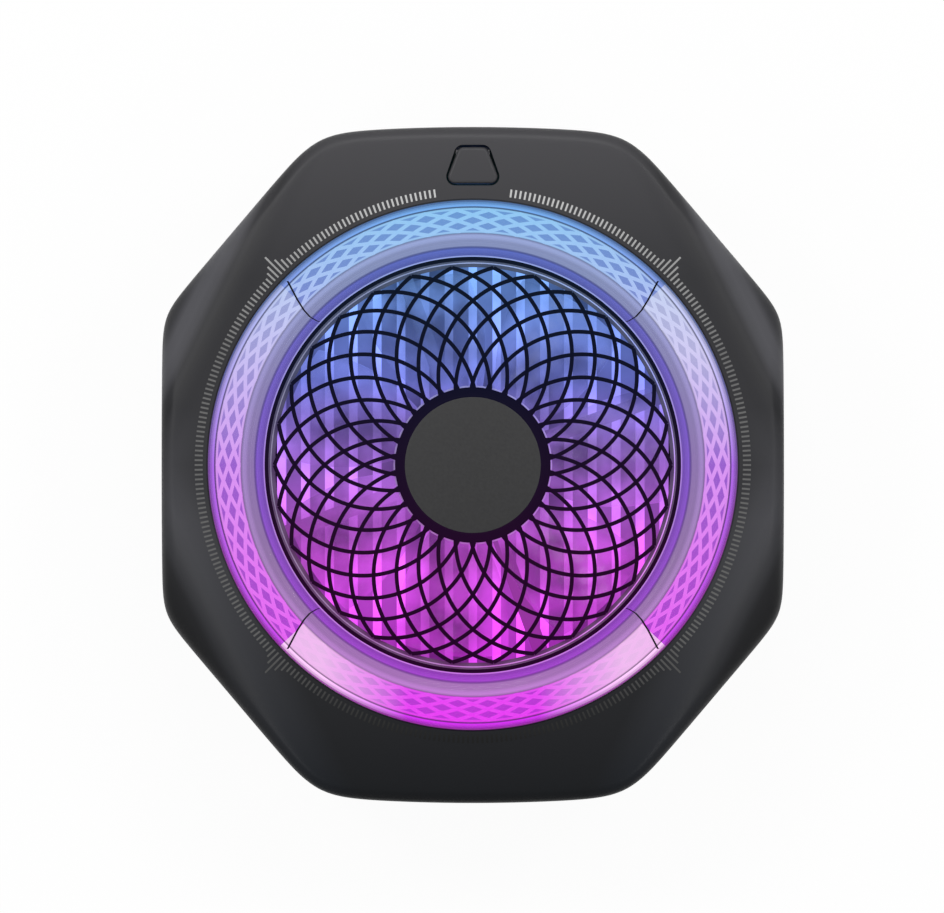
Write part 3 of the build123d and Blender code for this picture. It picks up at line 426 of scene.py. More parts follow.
# %% Colours of the light
light_ends_mm = (-27, -10, 0, 20, 27)
line_colours = (
    (0.91, 0.03, 0.99), (0.85, 0.20, 0.98), (0.76, 0.33, 0.98),
    (0.42, 0.60, 0.98), (0.30, 0.64, 0.99),
)
diamond_colours = (
    (0.55, 0.01, 0.72), (0.42, 0.07, 0.66), (0.34, 0.11, 0.66),
    (0.18, 0.29, 0.68), (0.14, 0.34, 0.71),
)
band_colours = (
    (0.50, 0.18, 0.60), (0.34, 0.19, 0.45), (0.32, 0.20, 0.50),
    (0.27, 0.33, 0.58), (0.28, 0.35, 0.63),
)
slope_colours = (
    (0.38, 0.03, 0.59), (0.27, 0.06, 0.56), (0.20, 0.08, 0.55),
    (0.09, 0.12, 0.48), (0.08, 0.15, 0.54),
)
fan_ends_mm = (-20, -10, 0, 9, 20)
fan_colours = (
    (0.85, 0.05, 0.95), (0.80, 0.10, 0.93), (0.50, 0.19, 0.90),
    (0.22, 0.26, 0.90), (0.19, 0.40, 0.95),
)


def light_scale(finish, colours, ends_mm=light_ends_mm):
    """One colour scale of the light, along Y."""
    places = [each * mm for each in ends_mm]
    return finish.ramp(finish.axis("Y"), places, colours)


# %% [markdown]
# The light guide changes with the distance from the axis: a dark foot, the deep
# slope, the calm band, the diamonds of the window, and a lip behind a dark line.
# Beside the lower seams it turns milky, where the light leaks into the joint, and
# the side segments pale towards their upper ends, more on the right.

# %% Light guide
# Radius in mm, then the shares of band, window and bright edge, and the light.
zones = (
    (22.10, 0, 0, 0, 0.2),
    (22.16, 0.7, 0, 0, 1.5),
    (22.24, 0.7, 0, 0, 1.5),
    (22.30, 0, 0, 0, 0.8),
    (22.95, 0, 0, 0, 1.15),
    (23.10, 0, 0, 0, 0.6),
    (23.20, 0.5, 0, 0, 0.6),
    (23.32, 1, 0, 0, 0.9),
    (23.90, 1, 0, 0, 0.85),
    (24.20, 1, 0, 0, 1.2),
    (24.50, 1, 0, 0, 1.1),
    (24.62, 1, 0, 0, 0.55),
    (24.72, 0, 1, 1, 0.9),
    (24.86, 0, 1, 1, 1.0),
    (24.94, 0, 1, 0, 1.0),
    (27.06, 0, 1, 0, 1.0),
    (27.14, 0, 1, 1, 1.0),
    (27.30, 0, 1, 1, 0.9),
    (27.36, 0, 1, 0, 0.35),
    (27.46, 0, 1, 0, 0.35),
    (27.52, 0.1, 1, 0, 1.45),
    (27.66, 0.1, 1, 0, 1.3),
    (27.80, 0, 1, 0, 0.9),
    (27.95, 0, 1, 0, 0.8),
    (28.00, 0, 1, 0, 0.2),
)
milky = (1.0, 0.62, 0.96)
seam_tangent = tan(radians(46.8))
window_inner = 24.6 * mm
light_guide = Finish("light_guide", (0.01, 0.01, 0.02), 0.3)


def radius_of(finish):
    """The distance from the fan's axis."""
    x, y = finish.axis("X"), finish.axis("Y")
    square = finish.maths("ADD", finish.times(x, x), finish.times(y, y))
    return finish.maths("SQRT", square)


def zoned(finish, column):
    """A level that changes from zone to zone: band, window, window's edge or light."""
    places = [zone[0] * mm for zone in zones]
    top = max(zone[column] for zone in zones)
    shades = [(zone[column] / top,) * 3 for zone in zones]
    share = finish.ramp(radius_of(finish), places, shades)
    return finish.times(share, top)


def streaks(finish):
    """Fine rings, as the turned surfaces of clear plastic show."""
    reach = finish.times(radius_of(finish), 5200.0)
    noise = finish.node("ShaderNodeTexNoise", noise_dimensions="1D")
    finish.tree.links.new(reach, noise.inputs["W"])
    inside = finish.maths("LESS_THAN", radius_of(finish), 24.65 * mm)
    level = finish.span(noise.outputs[0], 0.3, 0.7, -0.28, 0.28)
    return finish.maths("ADD", finish.times(inside, level), 1.0)


def seam_leak(finish):
    """Where the lower segment turns milky: towards its two ends."""
    beside = finish.maths("ABSOLUTE", finish.axis("X"))
    below = finish.times(finish.axis("Y"), -seam_tangent)
    inside = finish.maths("GREATER_THAN", below, beside)
    outer = finish.maths("GREATER_THAN", radius_of(finish), window_inner)
    fade = finish.span(beside, 7 * mm, 16 * mm, 0.0, 0.85)
    return finish.times(finish.times(inside, outer), fade)


def pale_ends(finish):
    """Where the side segments turn pale: towards their upper ends."""
    beside = finish.maths("ABSOLUTE", finish.axis("X"))
    above = finish.times(finish.axis("Y"), seam_tangent)
    inside = finish.maths("GREATER_THAN", beside, above)
    outer = finish.maths("GREATER_THAN", radius_of(finish), window_inner)
    fade = finish.span(finish.axis("Y"), 0.0, 12 * mm)
    side = finish.span(finish.axis("X"), -25 * mm, 25 * mm, 0.18, 0.34)
    share = finish.times(fade, side)
    return finish.times(finish.times(inside, outer), share)


def paled(finish, tone):
    """The tone with its pale ends and milky seams."""
    tone = finish.mix(pale_ends(finish), tone, (1, 1, 1))
    return finish.mix(seam_leak(finish), tone, milky)


guide_tone = light_scale(light_guide, slope_colours)
for column, colours in ((1, band_colours), (2, diamond_colours), (3, line_colours)):
    colour = light_scale(light_guide, colours)
    guide_tone = light_guide.mix(zoned(light_guide, column), guide_tone, colour)
light_guide.link(paled(light_guide, guide_tone), "Emission Color")
guide_light = light_guide.times(zoned(light_guide, 4), streaks(light_guide))
light_guide.link(guide_light, "Emission Strength")
light_guide.fix("Specular IOR Level", 0.1)

light_lines = Finish("light_lines", (0.01, 0.01, 0.02), 0.3)
lines_tone = light_scale(light_lines, line_colours)
light_lines.link(paled(light_lines, lines_tone), "Emission Color")
light_lines.fix("Emission Strength", 1.0)
light_lines.fix("Specular IOR Level", 0.1)

# %% [markdown]
# The ring itself is clear plastic. It shows the light guide below it, and adds
# only its gloss. The seams between its four parts hold thin dark plates, which
# are painted shade.

# %% Clear ring and seams
clear_ring = Finish("clear_ring", (0.1, 0.1, 0.16), 0.1)
clear_ring.grain(120.0, 0.002)
clear_ring.fix("Alpha", 0.07)
# Painted shade: a near-black finish for the plates that stand for the shade in the seams.
seam_painted_shade = Finish("seam_painted_shade", (0.004, 0.004, 0.008), 0.6)
seam_painted_shade.grain(2000.0, 0.01)
seam_painted_shade.fix("Specular IOR Level", 0.1)

# %% [markdown]
# Behind the grille the fan's clear blades have the ring's light painted on as a
# cloudy glow, and the fins behind them are painted as bright edges over dark
# gaps. Seven soft pools of light are painted on the fins between the blades, and
# the painted light fades towards the hub as painted shade.

# %% Fan, fins and frame with painted light
cloud_low, cloud_high = 0.38, 0.62
fan_clear = Finish("fan_clear", (0.02, 0.02, 0.06), 0.2)
fan_clear.fix("Specular IOR Level", 0.2)
fan_cloud = fan_clear.grain(170.0, 0.008)
# Painted light: the blades and the fan's hub glow in the ring's colours, cloudy, though they are no
# lamp.
painted_fan_glow = fan_clear.span(fan_cloud, cloud_low, cloud_high, 0.25, 1.15)
fan_clear.link(light_scale(fan_clear, fan_colours, fan_ends_mm), "Emission Color")
fan_clear.link(painted_fan_glow, "Emission Strength")
fan_clear.fix("Alpha", 0.26)

fin_foot, fin_crest = 8 * mm, 14 * mm
pool_count = 7
pool_phase = radians(158)
metal_painted_light = Finish("metal_painted_light", (0.10, 0.10, 0.16), 0.4, 0.3)
metal_cloud = metal_painted_light.grain(150.0, 0.01)
# Painted light: the fins glow, brighter at their crests and in pools between the blades, and darker
# towards the hub as painted shade.
painted_fin_light = metal_painted_light.span(metal_painted_light.axis("Z"), fin_foot, fin_crest, 0.34, 1.15)
painted_cloud_light = metal_painted_light.span(metal_cloud, cloud_low, cloud_high, 0.8, 1.15)
pool_turn = metal_painted_light.maths("ARCTAN2", metal_painted_light.axis("Y"), metal_painted_light.axis("X"))
pool_waves = metal_painted_light.times(pool_turn, float(pool_count))
pool_wave = metal_painted_light.maths("ADD", pool_waves, pool_phase)
painted_pool_light = metal_painted_light.span(metal_painted_light.maths("COSINE", pool_wave), -0.8, 0.4, 0.5, 1.15)
painted_hub_shade = metal_painted_light.span(radius_of(metal_painted_light), 8.5 * mm, 13 * mm, 0.4, 1.0)
painted_metal_light = painted_fin_light
for factor in (painted_cloud_light, painted_pool_light, painted_hub_shade):
    painted_metal_light = metal_painted_light.times(painted_metal_light, factor)
metal_painted_light.link(light_scale(metal_painted_light, fan_colours, fan_ends_mm), "Emission Color")
metal_painted_light.link(painted_metal_light, "Emission Strength")


def painted_glow_plastic(name, colour, level):
    """Black plastic with a little of the ring's light painted on as a glow."""
    made = Finish(name, colour, 0.4)
    made.grain(1500.0, 0.01)
    made.fix("Specular IOR Level", 0.2)
    made.link(light_scale(made, fan_colours, fan_ends_mm), "Emission Color")
    made.fix("Emission Strength", level)
    return made


# Painted light: the inner rim, the fan frame and the grille glow a little in the ring's colours.
rim_painted_glow = painted_glow_plastic("rim_painted_glow", (0.04, 0.04, 0.045), 0.1)
frame_black = painted_glow_plastic("frame_black", (0.012, 0.012, 0.014), 0.35)
grille_black = painted_glow_plastic("grille_black", (0.0005, 0.0005, 0.001), 0.02)
grille_black.fix("Specular IOR Level", 0.01)
# Painted highlight: a glow for the two hair lines of glint, brighter towards the right.
glint = painted_glow_plastic("glint", (0.2, 0.2, 0.25), 0.5)
painted_glint_fade = glint.span(glint.axis("X"), -20 * mm, 20 * mm, 0.12, 0.75)
glint.link(painted_glint_fade, "Emission Strength")

# %% [markdown]
# The other finishes are plain: satin grey for the cap, and metals, boards and
# rubber for what shows from the back and the sides.

# %% Plain finishes
cap_grey = plain_finish("cap_grey", (0.029, 0.029, 0.030), 0.5)
cap_grey.fix("Specular IOR Level", 0.15)
soft_black = plain_finish("soft_black", (0.018, 0.018, 0.02), 0.75, depth_mm=0.04)
pad_grey = plain_finish("pad_grey", (0.24, 0.25, 0.27), 0.8, depth_mm=0.05)
aluminium = plain_finish("aluminium", (0.72, 0.72, 0.74), 0.32, 1.0)
steel = plain_finish("steel", (0.55, 0.55, 0.57), 0.28, 1.0)
dark_steel = plain_finish("dark_steel", (0.3, 0.3, 0.32), 0.45, 1.0)
copper = plain_finish("copper", (0.72, 0.32, 0.14), 0.35, 1.0)
bronze = plain_finish("bronze", (0.55, 0.38, 0.18), 0.5, 1.0)
ceramic = plain_finish("ceramic", (0.84, 0.84, 0.82), 0.6)
foam = plain_finish("foam", (0.05, 0.05, 0.05), 0.9, depth_mm=0.08)
board_green = plain_finish("board_green", (0.02, 0.09, 0.05), 0.35)
chip_black = plain_finish("chip_black", (0.02, 0.02, 0.02), 0.55)
lamp_white = plain_finish("lamp_white", (0.9, 0.9, 0.85), 0.2)

node_finishes = (
    (bronze, "bearing_sleeve"),
    (steel, "board_screws frame_screws heatsink_screws rotor_yoke shaft tact_switch usb_receptacle"),
    (board_green, "button_board fan_board led_board main_board"),
    (aluminium, "cold_plate"),
    (chip_black, "control_chips switch_plunger usb_tongue"),
    (ceramic, "cooler_cold_ceramic cooler_hot_ceramic"),
    (dark_steel, "cooler_pellets magnet_ring rotor_magnet stator_core"),
    (frame_black, "fan_frame"),
    (metal_painted_light, "heatsink"),
    (foam, "insulation_frame"),
    (lamp_white, "leds"),
    (housing_black, "rear_shell"),
    (copper, "stator_coils"),
    (pad_grey, "thermal_pad"),
)
for finish, names in node_finishes:
    for name in names.split():
        dress(nodes[name], finish)
print("dressed nodes:", sum(len(names.split()) for finish, names in node_finishes))


# %% [markdown]
# The front shell is the form that everyone sees: a flat face that falls away at
# four soft facets, with a rounded outer edge. A circle is extruded outwards in
# loops, and each loop is then laid on the surface, so the soft creases stay
# smooth where a bevel would leave a hard line.

# %% Front shell outline and height
side_vertex_y = 0.445 * half_height
top_vertex_x = 0.5045 * half_width
crown_drop = 0.75 * mm
facet_slope = radians(28)
facet_round = 9 * mm
edge_round = 1.35 * mm
bore_radius = ring_radius + 0.07 * mm
smallest_share = 1e-6
side_sharpness, top_sharpness = 48, 30
side_top = half_height - crown_drop
run = half_width - top_vertex_x
rise = side_top - side_vertex_y
diagonal_turn = atan2(run, rise)
diagonal_reach = (half_width * side_top - top_vertex_x * side_vertex_y) / hypot(run, rise)


def outline_reach(turn):
    """How far the housing reaches in this direction, with soft corners."""
    x, y = abs(cos(turn)), abs(sin(turn))
    flat = atan2(y, x)
    side = half_width / max(x, smallest_share)
    sloped = diagonal_reach / max(cos(flat - diagonal_turn), smallest_share)
    crown = half_height - crown_drop * min(1.0, (half_height * x / top_vertex_x) ** 2)
    top = crown / max(y, smallest_share)
    soft = side_sharpness if flat < diagonal_turn else top_sharpness
    smallest = min(side, sloped, top)
    total = sum((smallest / each) ** soft for each in (side, sloped, top))
    return smallest * total ** (-1 / soft)


def face_drop(x, y):
    """How far the face has fallen at this point of a soft facet."""
    beyond_crease = (abs(x) * crease_rise + abs(y) * crease_run) / crease_length - crease_place
    from_bend = beyond_crease + facet_round * tan(facet_slope / 2)
    if from_bend <= 0:
        return 0.0
    if from_bend < facet_round * sin(facet_slope):
        return facet_round - sqrt(facet_round**2 - from_bend**2)
    past_bend = from_bend - facet_round * sin(facet_slope)
    return facet_round * (1 - cos(facet_slope)) + past_bend * tan(facet_slope)


# %% Front shell
shell_sides = 480
parting_gap = 0.02 * mm
parting_bevel = 0.2 * mm
face_loops = 16
edge_loops = 7


def shell_loops():
    """The loops of the shell as functions of the direction: reach and height."""
    loops = [lambda t: (bore_radius, face_height - 0.2 * mm)]
    for k in range(face_loops + 1):
        share = k / face_loops

        def on_face(t, share=share):
            inner = bore_radius + 0.15 * mm
            reach = inner + (outline_reach(t) - edge_round - inner) * share
            return reach, face_height - face_drop(reach * cos(t), reach * sin(t))

        loops.append(on_face)
    for k in range(1, edge_loops + 1):
        angle = k / edge_loops * pi / 2

        def on_edge(t, angle=angle):
            reach = outline_reach(t) - edge_round * (1 - sin(angle))
            drop = face_drop(reach * cos(t), reach * sin(t))
            return reach, face_height - drop - edge_round * (1 - cos(angle))

        loops.append(on_edge)
    loops.append(lambda t: (outline_reach(t), split_height + 0.25 * mm))
    loops.append(lambda t: (outline_reach(t) - parting_bevel, split_height + parting_gap))
    loops.append(lambda t: (outline_reach(t) - wall, split_height + parting_gap))
    for share in (1.0, 0.5, 0.0):

        def inside(t, share=share):
            reach = bore_radius + (outline_reach(t) - wall - bore_radius) * share
            return reach, face_height - wall - face_drop(reach * cos(t), reach * sin(t))

        loops.append(inside)
    return loops


start_clean()
bpy.ops.mesh.primitive_circle_add(vertices=shell_sides, radius=bore_radius)
shell = bpy.context.object
shell.name = "front_shell_skin"
loops = shell_loops()
bpy.ops.object.mode_set(mode="EDIT")
bpy.ops.mesh.select_all(action="SELECT")
for _ in loops[1:]:
    bpy.ops.mesh.extrude_edges_move(TRANSFORM_OT_translate={"value": (0, 0, -mm)})
bpy.ops.object.mode_set(mode="OBJECT")
for index, vertex in enumerate(shell.data.vertices):
    turn = 2 * pi * (index % shell_sides) / shell_sides
    reach, height = loops[index // shell_sides](turn)
    vertex.co = (reach * cos(turn), reach * sin(turn), height)
activate(shell)
bpy.ops.object.mode_set(mode="EDIT")
bpy.ops.mesh.select_all(action="DESELECT")
bpy.ops.mesh.select_non_manifold()
bpy.ops.mesh.bridge_edge_loops()
bpy.ops.object.mode_set(mode="OBJECT")
settle(shell)
print("front shell faces:", len(shell.data.polygons))

# %% [markdown]
# The mode button is a rounded trapezoid with its wide side to the ring. Its
# opening in the shell is the same outline, a little larger, cut by a boolean.

# %% Mode button
button_middle = (button_low.y + button_high.y) / 2
button_depth = 3.8 * mm
button_base = 5.9 * mm
button_crest = 2.9 * mm
button_gap = 0.26 * mm
button_foot = button_high.z - 3 * mm


def button_points(growth):
    """The rounded outline of the key, grown on all sides."""
    low = button_middle - button_depth / 2 - growth
    high = button_middle + button_depth / 2 + growth
    corners = (
        (-button_base / 2 - growth, low),
        (button_base / 2 + growth, low),
        (button_crest / 2 + growth, high),
        (-button_crest / 2 - growth, high),
    )
    return rounded(corners, 0.7 * mm + growth)


button_cut = prism("button_cut", button_points(button_gap), button_foot, face_height + mm)
boolean(shell, button_cut, "DIFFERENCE")
dress(shell, housing_black)
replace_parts(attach(shell, "housing"), "front_shell")

button = prism("mode_button_cap", button_points(0), button_foot, button_high.z)
bevel(button, 0.28 * mm, 4)
dress(settle(button), housing_black)
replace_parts(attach(button, "button"), "mode_button")
print("button faces:", len(button.data.polygons))

# %% [markdown]
# Round the ring runs a printed scale with one mark to the degree, and longer
# marks on the diagonals. It stops beside the button. Each mark is a thin plate,
# and its white is painted darker towards the bottom as painted shade.

# %% Printed scale
mark_start = 28.6 * mm
mark_end = 29.45 * mm
mark_width = 0.2 * mm
mark_thickness = 0.03 * mm
mark_gap = 7
long_marks = {0: 31.1 * mm, 1: 30.2 * mm, 2: 29.75 * mm}
turns_by_end = {}
for degree in range(360):
    from_top = abs((degree - 90 + 180) % 360 - 180)
    from_diagonal = abs(degree % 90 - 45)
    if from_top > mark_gap:
        end = long_marks.get(from_diagonal, mark_end)
        turns_by_end.setdefault(end, []).append(radians(degree))
marks = None
for end, turns in turns_by_end.items():
    plan = strip(mark_start, end, mark_width / 2)
    batch = prism("printed_scale", plan, face_height - mark_thickness, face_height + mark_thickness)
    copies_round(batch, turns)
    if marks:
        activate(marks)
        batch.select_set(True)
        bpy.ops.object.join()
    marks = marks or batch
marks.name = "printed_scale"
print_white_painted_shade = Finish("print_white_painted_shade", (0.5, 0.5, 0.5), 0.5)
print_white_painted_shade.fix("Specular IOR Level", 0.12)
print_white_painted_shade.grain(4000.0, 0.01)
# Painted shade: the print's white is painted darker towards the bottom, nearly black at the lower
# end.
print_white_painted_shade.link(
    print_white_painted_shade.ramp(
        print_white_painted_shade.axis("Y"),
        [each * mm for each in (-29, -25, -18, 0, 12, 22, 29)],
        [(share,) * 3 for share in (0.003, 0.03, 0.1, 0.11, 0.13, 0.3, 0.5)],
    ),
    "Base Color",
)
dress(marks, print_white_painted_shade)
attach(marks, "housing")
print("marks:", sum(len(turns) for turns in turns_by_end.values()))

# %% [markdown]
# The light guide is a flat ring with a raised net of thin bars, fifty each way,
# that cross in small diamonds. One bar is laid out and copied round the axis.

# %% Light guide and its diamond net
bar_low = guide_top - 0.05 * mm
bar_high = guide_top + 0.02 * mm
guide = flat_ring("light_guide", ring_radius, rim_radius + 0.06 * mm, guide_bottom, bar_low)
dress(guide, light_guide)
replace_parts(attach(guide, "housing"), "lattice_diffuser")

bar_count = 50
bar_width = 0.38 * mm
net_inner = 24.82 * mm
net_outer = 27.16 * mm
row_pitch = 0.58 * mm
bar_sweep = pi / bar_count * (net_outer - net_inner) / row_pitch
bar_steps = 6


def net_bar(name, hand):
    """One bar of the net, leaning to one side."""
    line = []
    for k in range(bar_steps + 1):
        share = k / bar_steps
        reach = net_inner + (net_outer - net_inner) * share
        turn = hand * bar_sweep * share
        line.append((reach * cos(turn), reach * sin(turn)))
    edges = ([], [])
    for k, (x, y) in enumerate(line):
        nx, ny = line[min(k + 1, bar_steps)]
        px, py = line[max(k - 1, 0)]
        length = hypot(nx - px, ny - py)
        ox, oy = -(ny - py) / length * bar_width / 2, (nx - px) / length * bar_width / 2
        edges[0].append((x + ox, y + oy))
        edges[1].append((x - ox, y - oy))
    return prism(name, edges[0] + edges[1][::-1], bar_low, bar_high)


net = copies_round(net_bar("light_net", 1), full_circle(bar_count))
crossing = copies_round(net_bar("light_net_crossing", -1), full_circle(bar_count))
for piece in (net, crossing):
    dress(piece, light_lines)
    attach(piece, "housing")
print("net bars:", 2 * bar_count)

# %% [markdown]
# The clear ring has a raised lip outside, a wide window, a sloping band and a
# steep inner slope. Each segment is the whole ring, trimmed at two bent seams.

# %% Clear ring in four segments
ring_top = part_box("ring_segment_top")[1].z
ring_bottom = guide_top + 0.05 * mm
ring_profile_mm = (
    (28.0, -0.15), (27.9, 0.0), (27.6, 0.0), (27.5, -0.1), (27.42, -0.32), (27.3, -0.25),
    (24.75, -0.5), (24.6, -0.66), (23.4, -1.1), (23.25, -1.3), (22.25, -2.2), (22.17, -2.35),
)
seam_turns = (
    (21.0, 45.2), (21.8, 46.4), (22.6, 47.3), (23.4, 47.7),
    (24.3, 47.5), (25.6, 46.7), (29.0, 44.4),
)
seam_half_gap = 0.11 * mm
seam_inner, seam_outer = 22.2 * mm, 27.95 * mm
seam_height = 0.3 * mm
seam_steps = 8


def ring_body(name):
    """The whole clear ring."""
    profile = [(ring_radius, ring_bottom)]
    profile += [(r * mm, ring_top + z * mm) for r, z in ring_profile_mm]
    profile.append((22.17 * mm, ring_bottom))
    return turned(name, profile, 360)


def seam_line(turn, side):
    """The points of one seam, moved to one side by half its gap."""
    points = []
    for reach, from_vertical in seam_turns:
        angle = turn - radians(from_vertical)
        points.append((reach * mm * cos(angle) + side * seam_half_gap, reach * mm * sin(angle)))
    return points


def segment_plan(kind):
    """The plan that one segment is trimmed to."""
    right = seam_line(pi / 2, -1)
    left = [(-x, y) for x, y in right]
    far = 31 * mm
    if kind in ("top", "bottom"):
        plan = right + [(far, far), (-far, far)] + left[::-1]
        return plan if kind == "top" else [(x, -y) for x, y in plan]
    upper = seam_line(pi / 2, 1)
    lower = [(x, -y) for x, y in upper]
    plan = upper + [(far, upper[-1][1]), (far, lower[-1][1])] + lower[::-1]
    return plan if kind == "right" else [(-x, y) for x, y in plan]


for kind in ("top", "bottom", "left", "right"):
    segment = ring_body(f"clear_ring_{kind}")
    tool = prism("seam_cut", segment_plan(kind), ring_bottom - mm, ring_top + mm)
    boolean(segment, tool, "INTERSECT")
    dress(segment, clear_ring)
    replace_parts(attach(segment, "housing"), f"ring_segment_{kind}")
    print(segment.name, "faces:", len(segment.data.polygons))


def painted_seam_shade_plates():
    """Thin dark plates in the four seams: painted shade where the joints of the ring lie."""

    def clipped(points):
        kept = []
        for (ax, ay), (bx, by) in zip(points, points[1:]):
            for step in range(seam_steps + 1):
                x, y = ax + (bx - ax) * step / seam_steps, ay + (by - ay) * step / seam_steps
                if seam_inner <= hypot(x, y) <= seam_outer:
                    kept.append((x, y))
        return kept

    first, second = (clipped(seam_line(pi / 2, side)) for side in (-1, 1))
    plates = []
    for k, (sx, sy) in enumerate(((1, 1), (-1, 1), (-1, -1), (1, -1))):
        plan = [(sx * x, sy * y) for x, y in first + second[::-1]]
        plates.append(prism(f"ring_seam_{k + 1}", plan, ring_bottom, ring_bottom + seam_height))
    return plates


for plate in painted_seam_shade_plates():
    dress(plate, seam_painted_shade)
    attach(plate, "housing")

# %% [markdown]
# A thin dark sleeve stands round the clear ring, under the shell's edge, so a
# slanting look through the ring ends at a wall.

# %% Ring sleeve
sleeve_inner = ring_radius + 0.02 * mm
sleeve_outer = sleeve_inner + 0.2 * mm
sleeve_bottom = ring_bottom - 1.2 * mm
sleeve_top = ring_bottom + 1.3 * mm
sleeve = flat_ring("ring_sleeve", sleeve_outer, sleeve_inner, sleeve_bottom, sleeve_top)
dress(sleeve, frame_black)
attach(sleeve, "housing")

# %% [markdown]
# The grille is woven from sixty equal arcs, thirty each way, that run from the
# cusps at the rim in under the hub. Their crossings make the rosette. One rib
# is a small upright rectangle spun about its own arc's centre.

# %% Grille
rib_width = 0.42 * mm
arc_count = 30
cusp_radius = 21.045 * mm
arc_radius = 0.5037 * cusp_radius
arc_offset = 0.556 * cusp_radius
first_turn = radians(18.386)
last_turn = radians(61.5)
hub_radius = 8.25 * mm
rib_steps = 36


def arc_angle(turn):
    """The angle about the arc's own centre of its point in this direction."""
    reach = arc_offset * cos(turn) + sqrt(arc_radius**2 - (arc_offset * sin(turn)) ** 2)
    return atan2(reach * sin(turn), reach * cos(turn) - arc_offset)


def rib(name, hand, low, high):
    """One rib: a rectangle at the cusp, spun along its arc."""
    first = arc_angle(first_turn)
    sweep = arc_angle(last_turn) - first
    start_clean()
    bpy.ops.mesh.primitive_plane_add(size=rib_width)
    piece = bpy.context.object
    piece.name = name
    for vertex in piece.data.vertices:
        reach = arc_radius + vertex.co.x
        height = high if vertex.co.y > 0 else low
        vertex.co = (arc_offset + reach * cos(first), hand * reach * sin(first), height)
    bpy.ops.object.mode_set(mode="EDIT")
    bpy.ops.mesh.select_all(action="SELECT")
    centre = (arc_offset, 0, 0)
    bpy.ops.mesh.spin(steps=rib_steps, angle=-hand * sweep, center=centre, axis=(0, 0, 1))
    bpy.ops.object.mode_set(mode="OBJECT")
    settle(piece)
    bevel(piece, 0.07 * mm)
    return settle(piece)


cusp_turn = radians(96)
for name, hand in (("grille_ribs_left", 1), ("grille_ribs_right", -1)):
    ribs = rib(name, hand, rim_top, grille_top)
    print(name, "faces of one rib:", len(ribs.data.polygons))
    first = cusp_turn - hand * first_turn
    dress(copies_round(ribs, full_circle(arc_count, first)), grille_black)
    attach(ribs, "housing")
    if hand > 0:
        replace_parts(ribs, "grille")

# %% [markdown]
# Under the cusps lies a flat rim: black outside, and inside with the ring's light painted on as a
# glow.
# The hub is a black disc with a bevelled cap, and its face is bare satin grey.
# Two glowing hair lines are painted highlights, one on the rim and one at the hub's foot.

# %% Rim and hub
rim_split = 21.7 * mm
rim_inner = 21.0 * mm
outer_rim = flat_ring("grille_rim", rim_radius, rim_split, rim_bottom, rim_top)
dress(outer_rim, grille_black)
inner_rim = turned(
    "grille_rim_painted_glow",
    [
        (rim_split, rim_bottom),
        (rim_split, rim_top - 0.05 * mm),
        (rim_inner, rim_top - 0.15 * mm),
        (rim_inner, rim_bottom),
    ],
)
dress(inner_rim, rim_painted_glow)
glint_outer, glint_inner = 21.5 * mm, 21.38 * mm
glint_low, glint_high = rim_top - 0.2 * mm, rim_top + 0.02 * mm
rim_glint = flat_ring("grille_rim_glint", glint_outer, glint_inner, glint_low, glint_high)
hub_outer, hub_inner = 8.42 * mm, 8.26 * mm
hub_glint = flat_ring("grille_hub_glint", hub_outer, hub_inner, rim_top, rim_top + 0.3 * mm)
dress(rim_glint, glint)
dress(hub_glint, glint)
hub_disc = turned("grille_hub", [(hub_radius, rim_top), (hub_radius, grille_top)], closed=False)
dress(hub_disc, grille_black)
cap_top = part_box("hub_cap")[1].z
cap_profile_mm = ((8.15, -0.55), (8.05, -0.45), (7.45, -0.04), (7.35, 0), (7.28, -0.02), (7.24, -0.1))
cap_profile = [(8.15 * mm, grille_top)]
cap_profile += [(r * mm, cap_top + z * mm) for r, z in cap_profile_mm]
cap = turned("hub_cap_rim", cap_profile, closed=False)
dress(cap, grille_black)
face_profile_mm = ((7.2, -0.12), (7.2, -0.06), (7.1, -0.03))
face_profile = [(r * mm, cap_top + z * mm) for r, z in face_profile_mm]
cap_face = turned("hub_cap_face", face_profile, closed=False)
dress(cap_face, cap_grey)
for piece, slot in (
    (outer_rim, "grille_black"),
    (inner_rim, "clear_ring"),
    (rim_glint, "clear_ring"),
    (hub_glint, "clear_ring"),
    (hub_disc, "grille_black"),
    (cap, "grille_black"),
    (cap_face, "cap_grey"),
):
    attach(piece, "housing")
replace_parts(cap, "hub_cap")

# %% [markdown]
# The fan has seven broad blades of clear plastic, with the ring's light painted
# on them as a glow. One blade is a grid bent over its length, thickened, and
# copied round the hub.

# %% Impeller
blade_count = 7
blade_thickness = 0.8 * mm
blade_rows = 18
blade_columns = 14
fan_hub = 8.0 * mm
blade_reach = 20.5 * mm
root_half = 2.7 * mm
tip_half = 6.4 * mm
tip_lead = 2.4 * mm
sheet_half = 9.0 * mm
root_depth = 0.5 * mm
belly = 1.2 * mm
bow = 0.7 * mm
blade_drop = (rotor_high - rotor_low - 2.0 * mm) / 2
blade_middle = (rotor_high + rotor_low) / 2
start_clean()
bpy.ops.mesh.primitive_grid_add(x_subdivisions=blade_rows, y_subdivisions=blade_columns, size=2)
blade = bpy.context.object
blade.name = "fan_blades"
for vertex in blade.data.vertices:
    along = (vertex.co.x + 1) / 2
    side = vertex.co.y
    reach = fan_hub - root_depth + along * (blade_reach - fan_hub + root_depth)
    half = root_half + (tip_half - root_half) * along + belly * sin(pi * along)
    y = tip_lead * along + half * side
    turn = atan2(y, reach)
    height = blade_middle - blade_drop * y / sheet_half + bow * (1 - (y / sheet_half) ** 2)
    vertex.co = (reach * cos(turn), reach * sin(turn), height)
apply_modifier(blade, "SOLIDIFY", thickness=blade_thickness, offset=0.0)
bevel(blade, 0.2 * mm)
dress(copies_round(blade, full_circle(blade_count)), fan_clear)
shaft_hole = 0.9 * mm
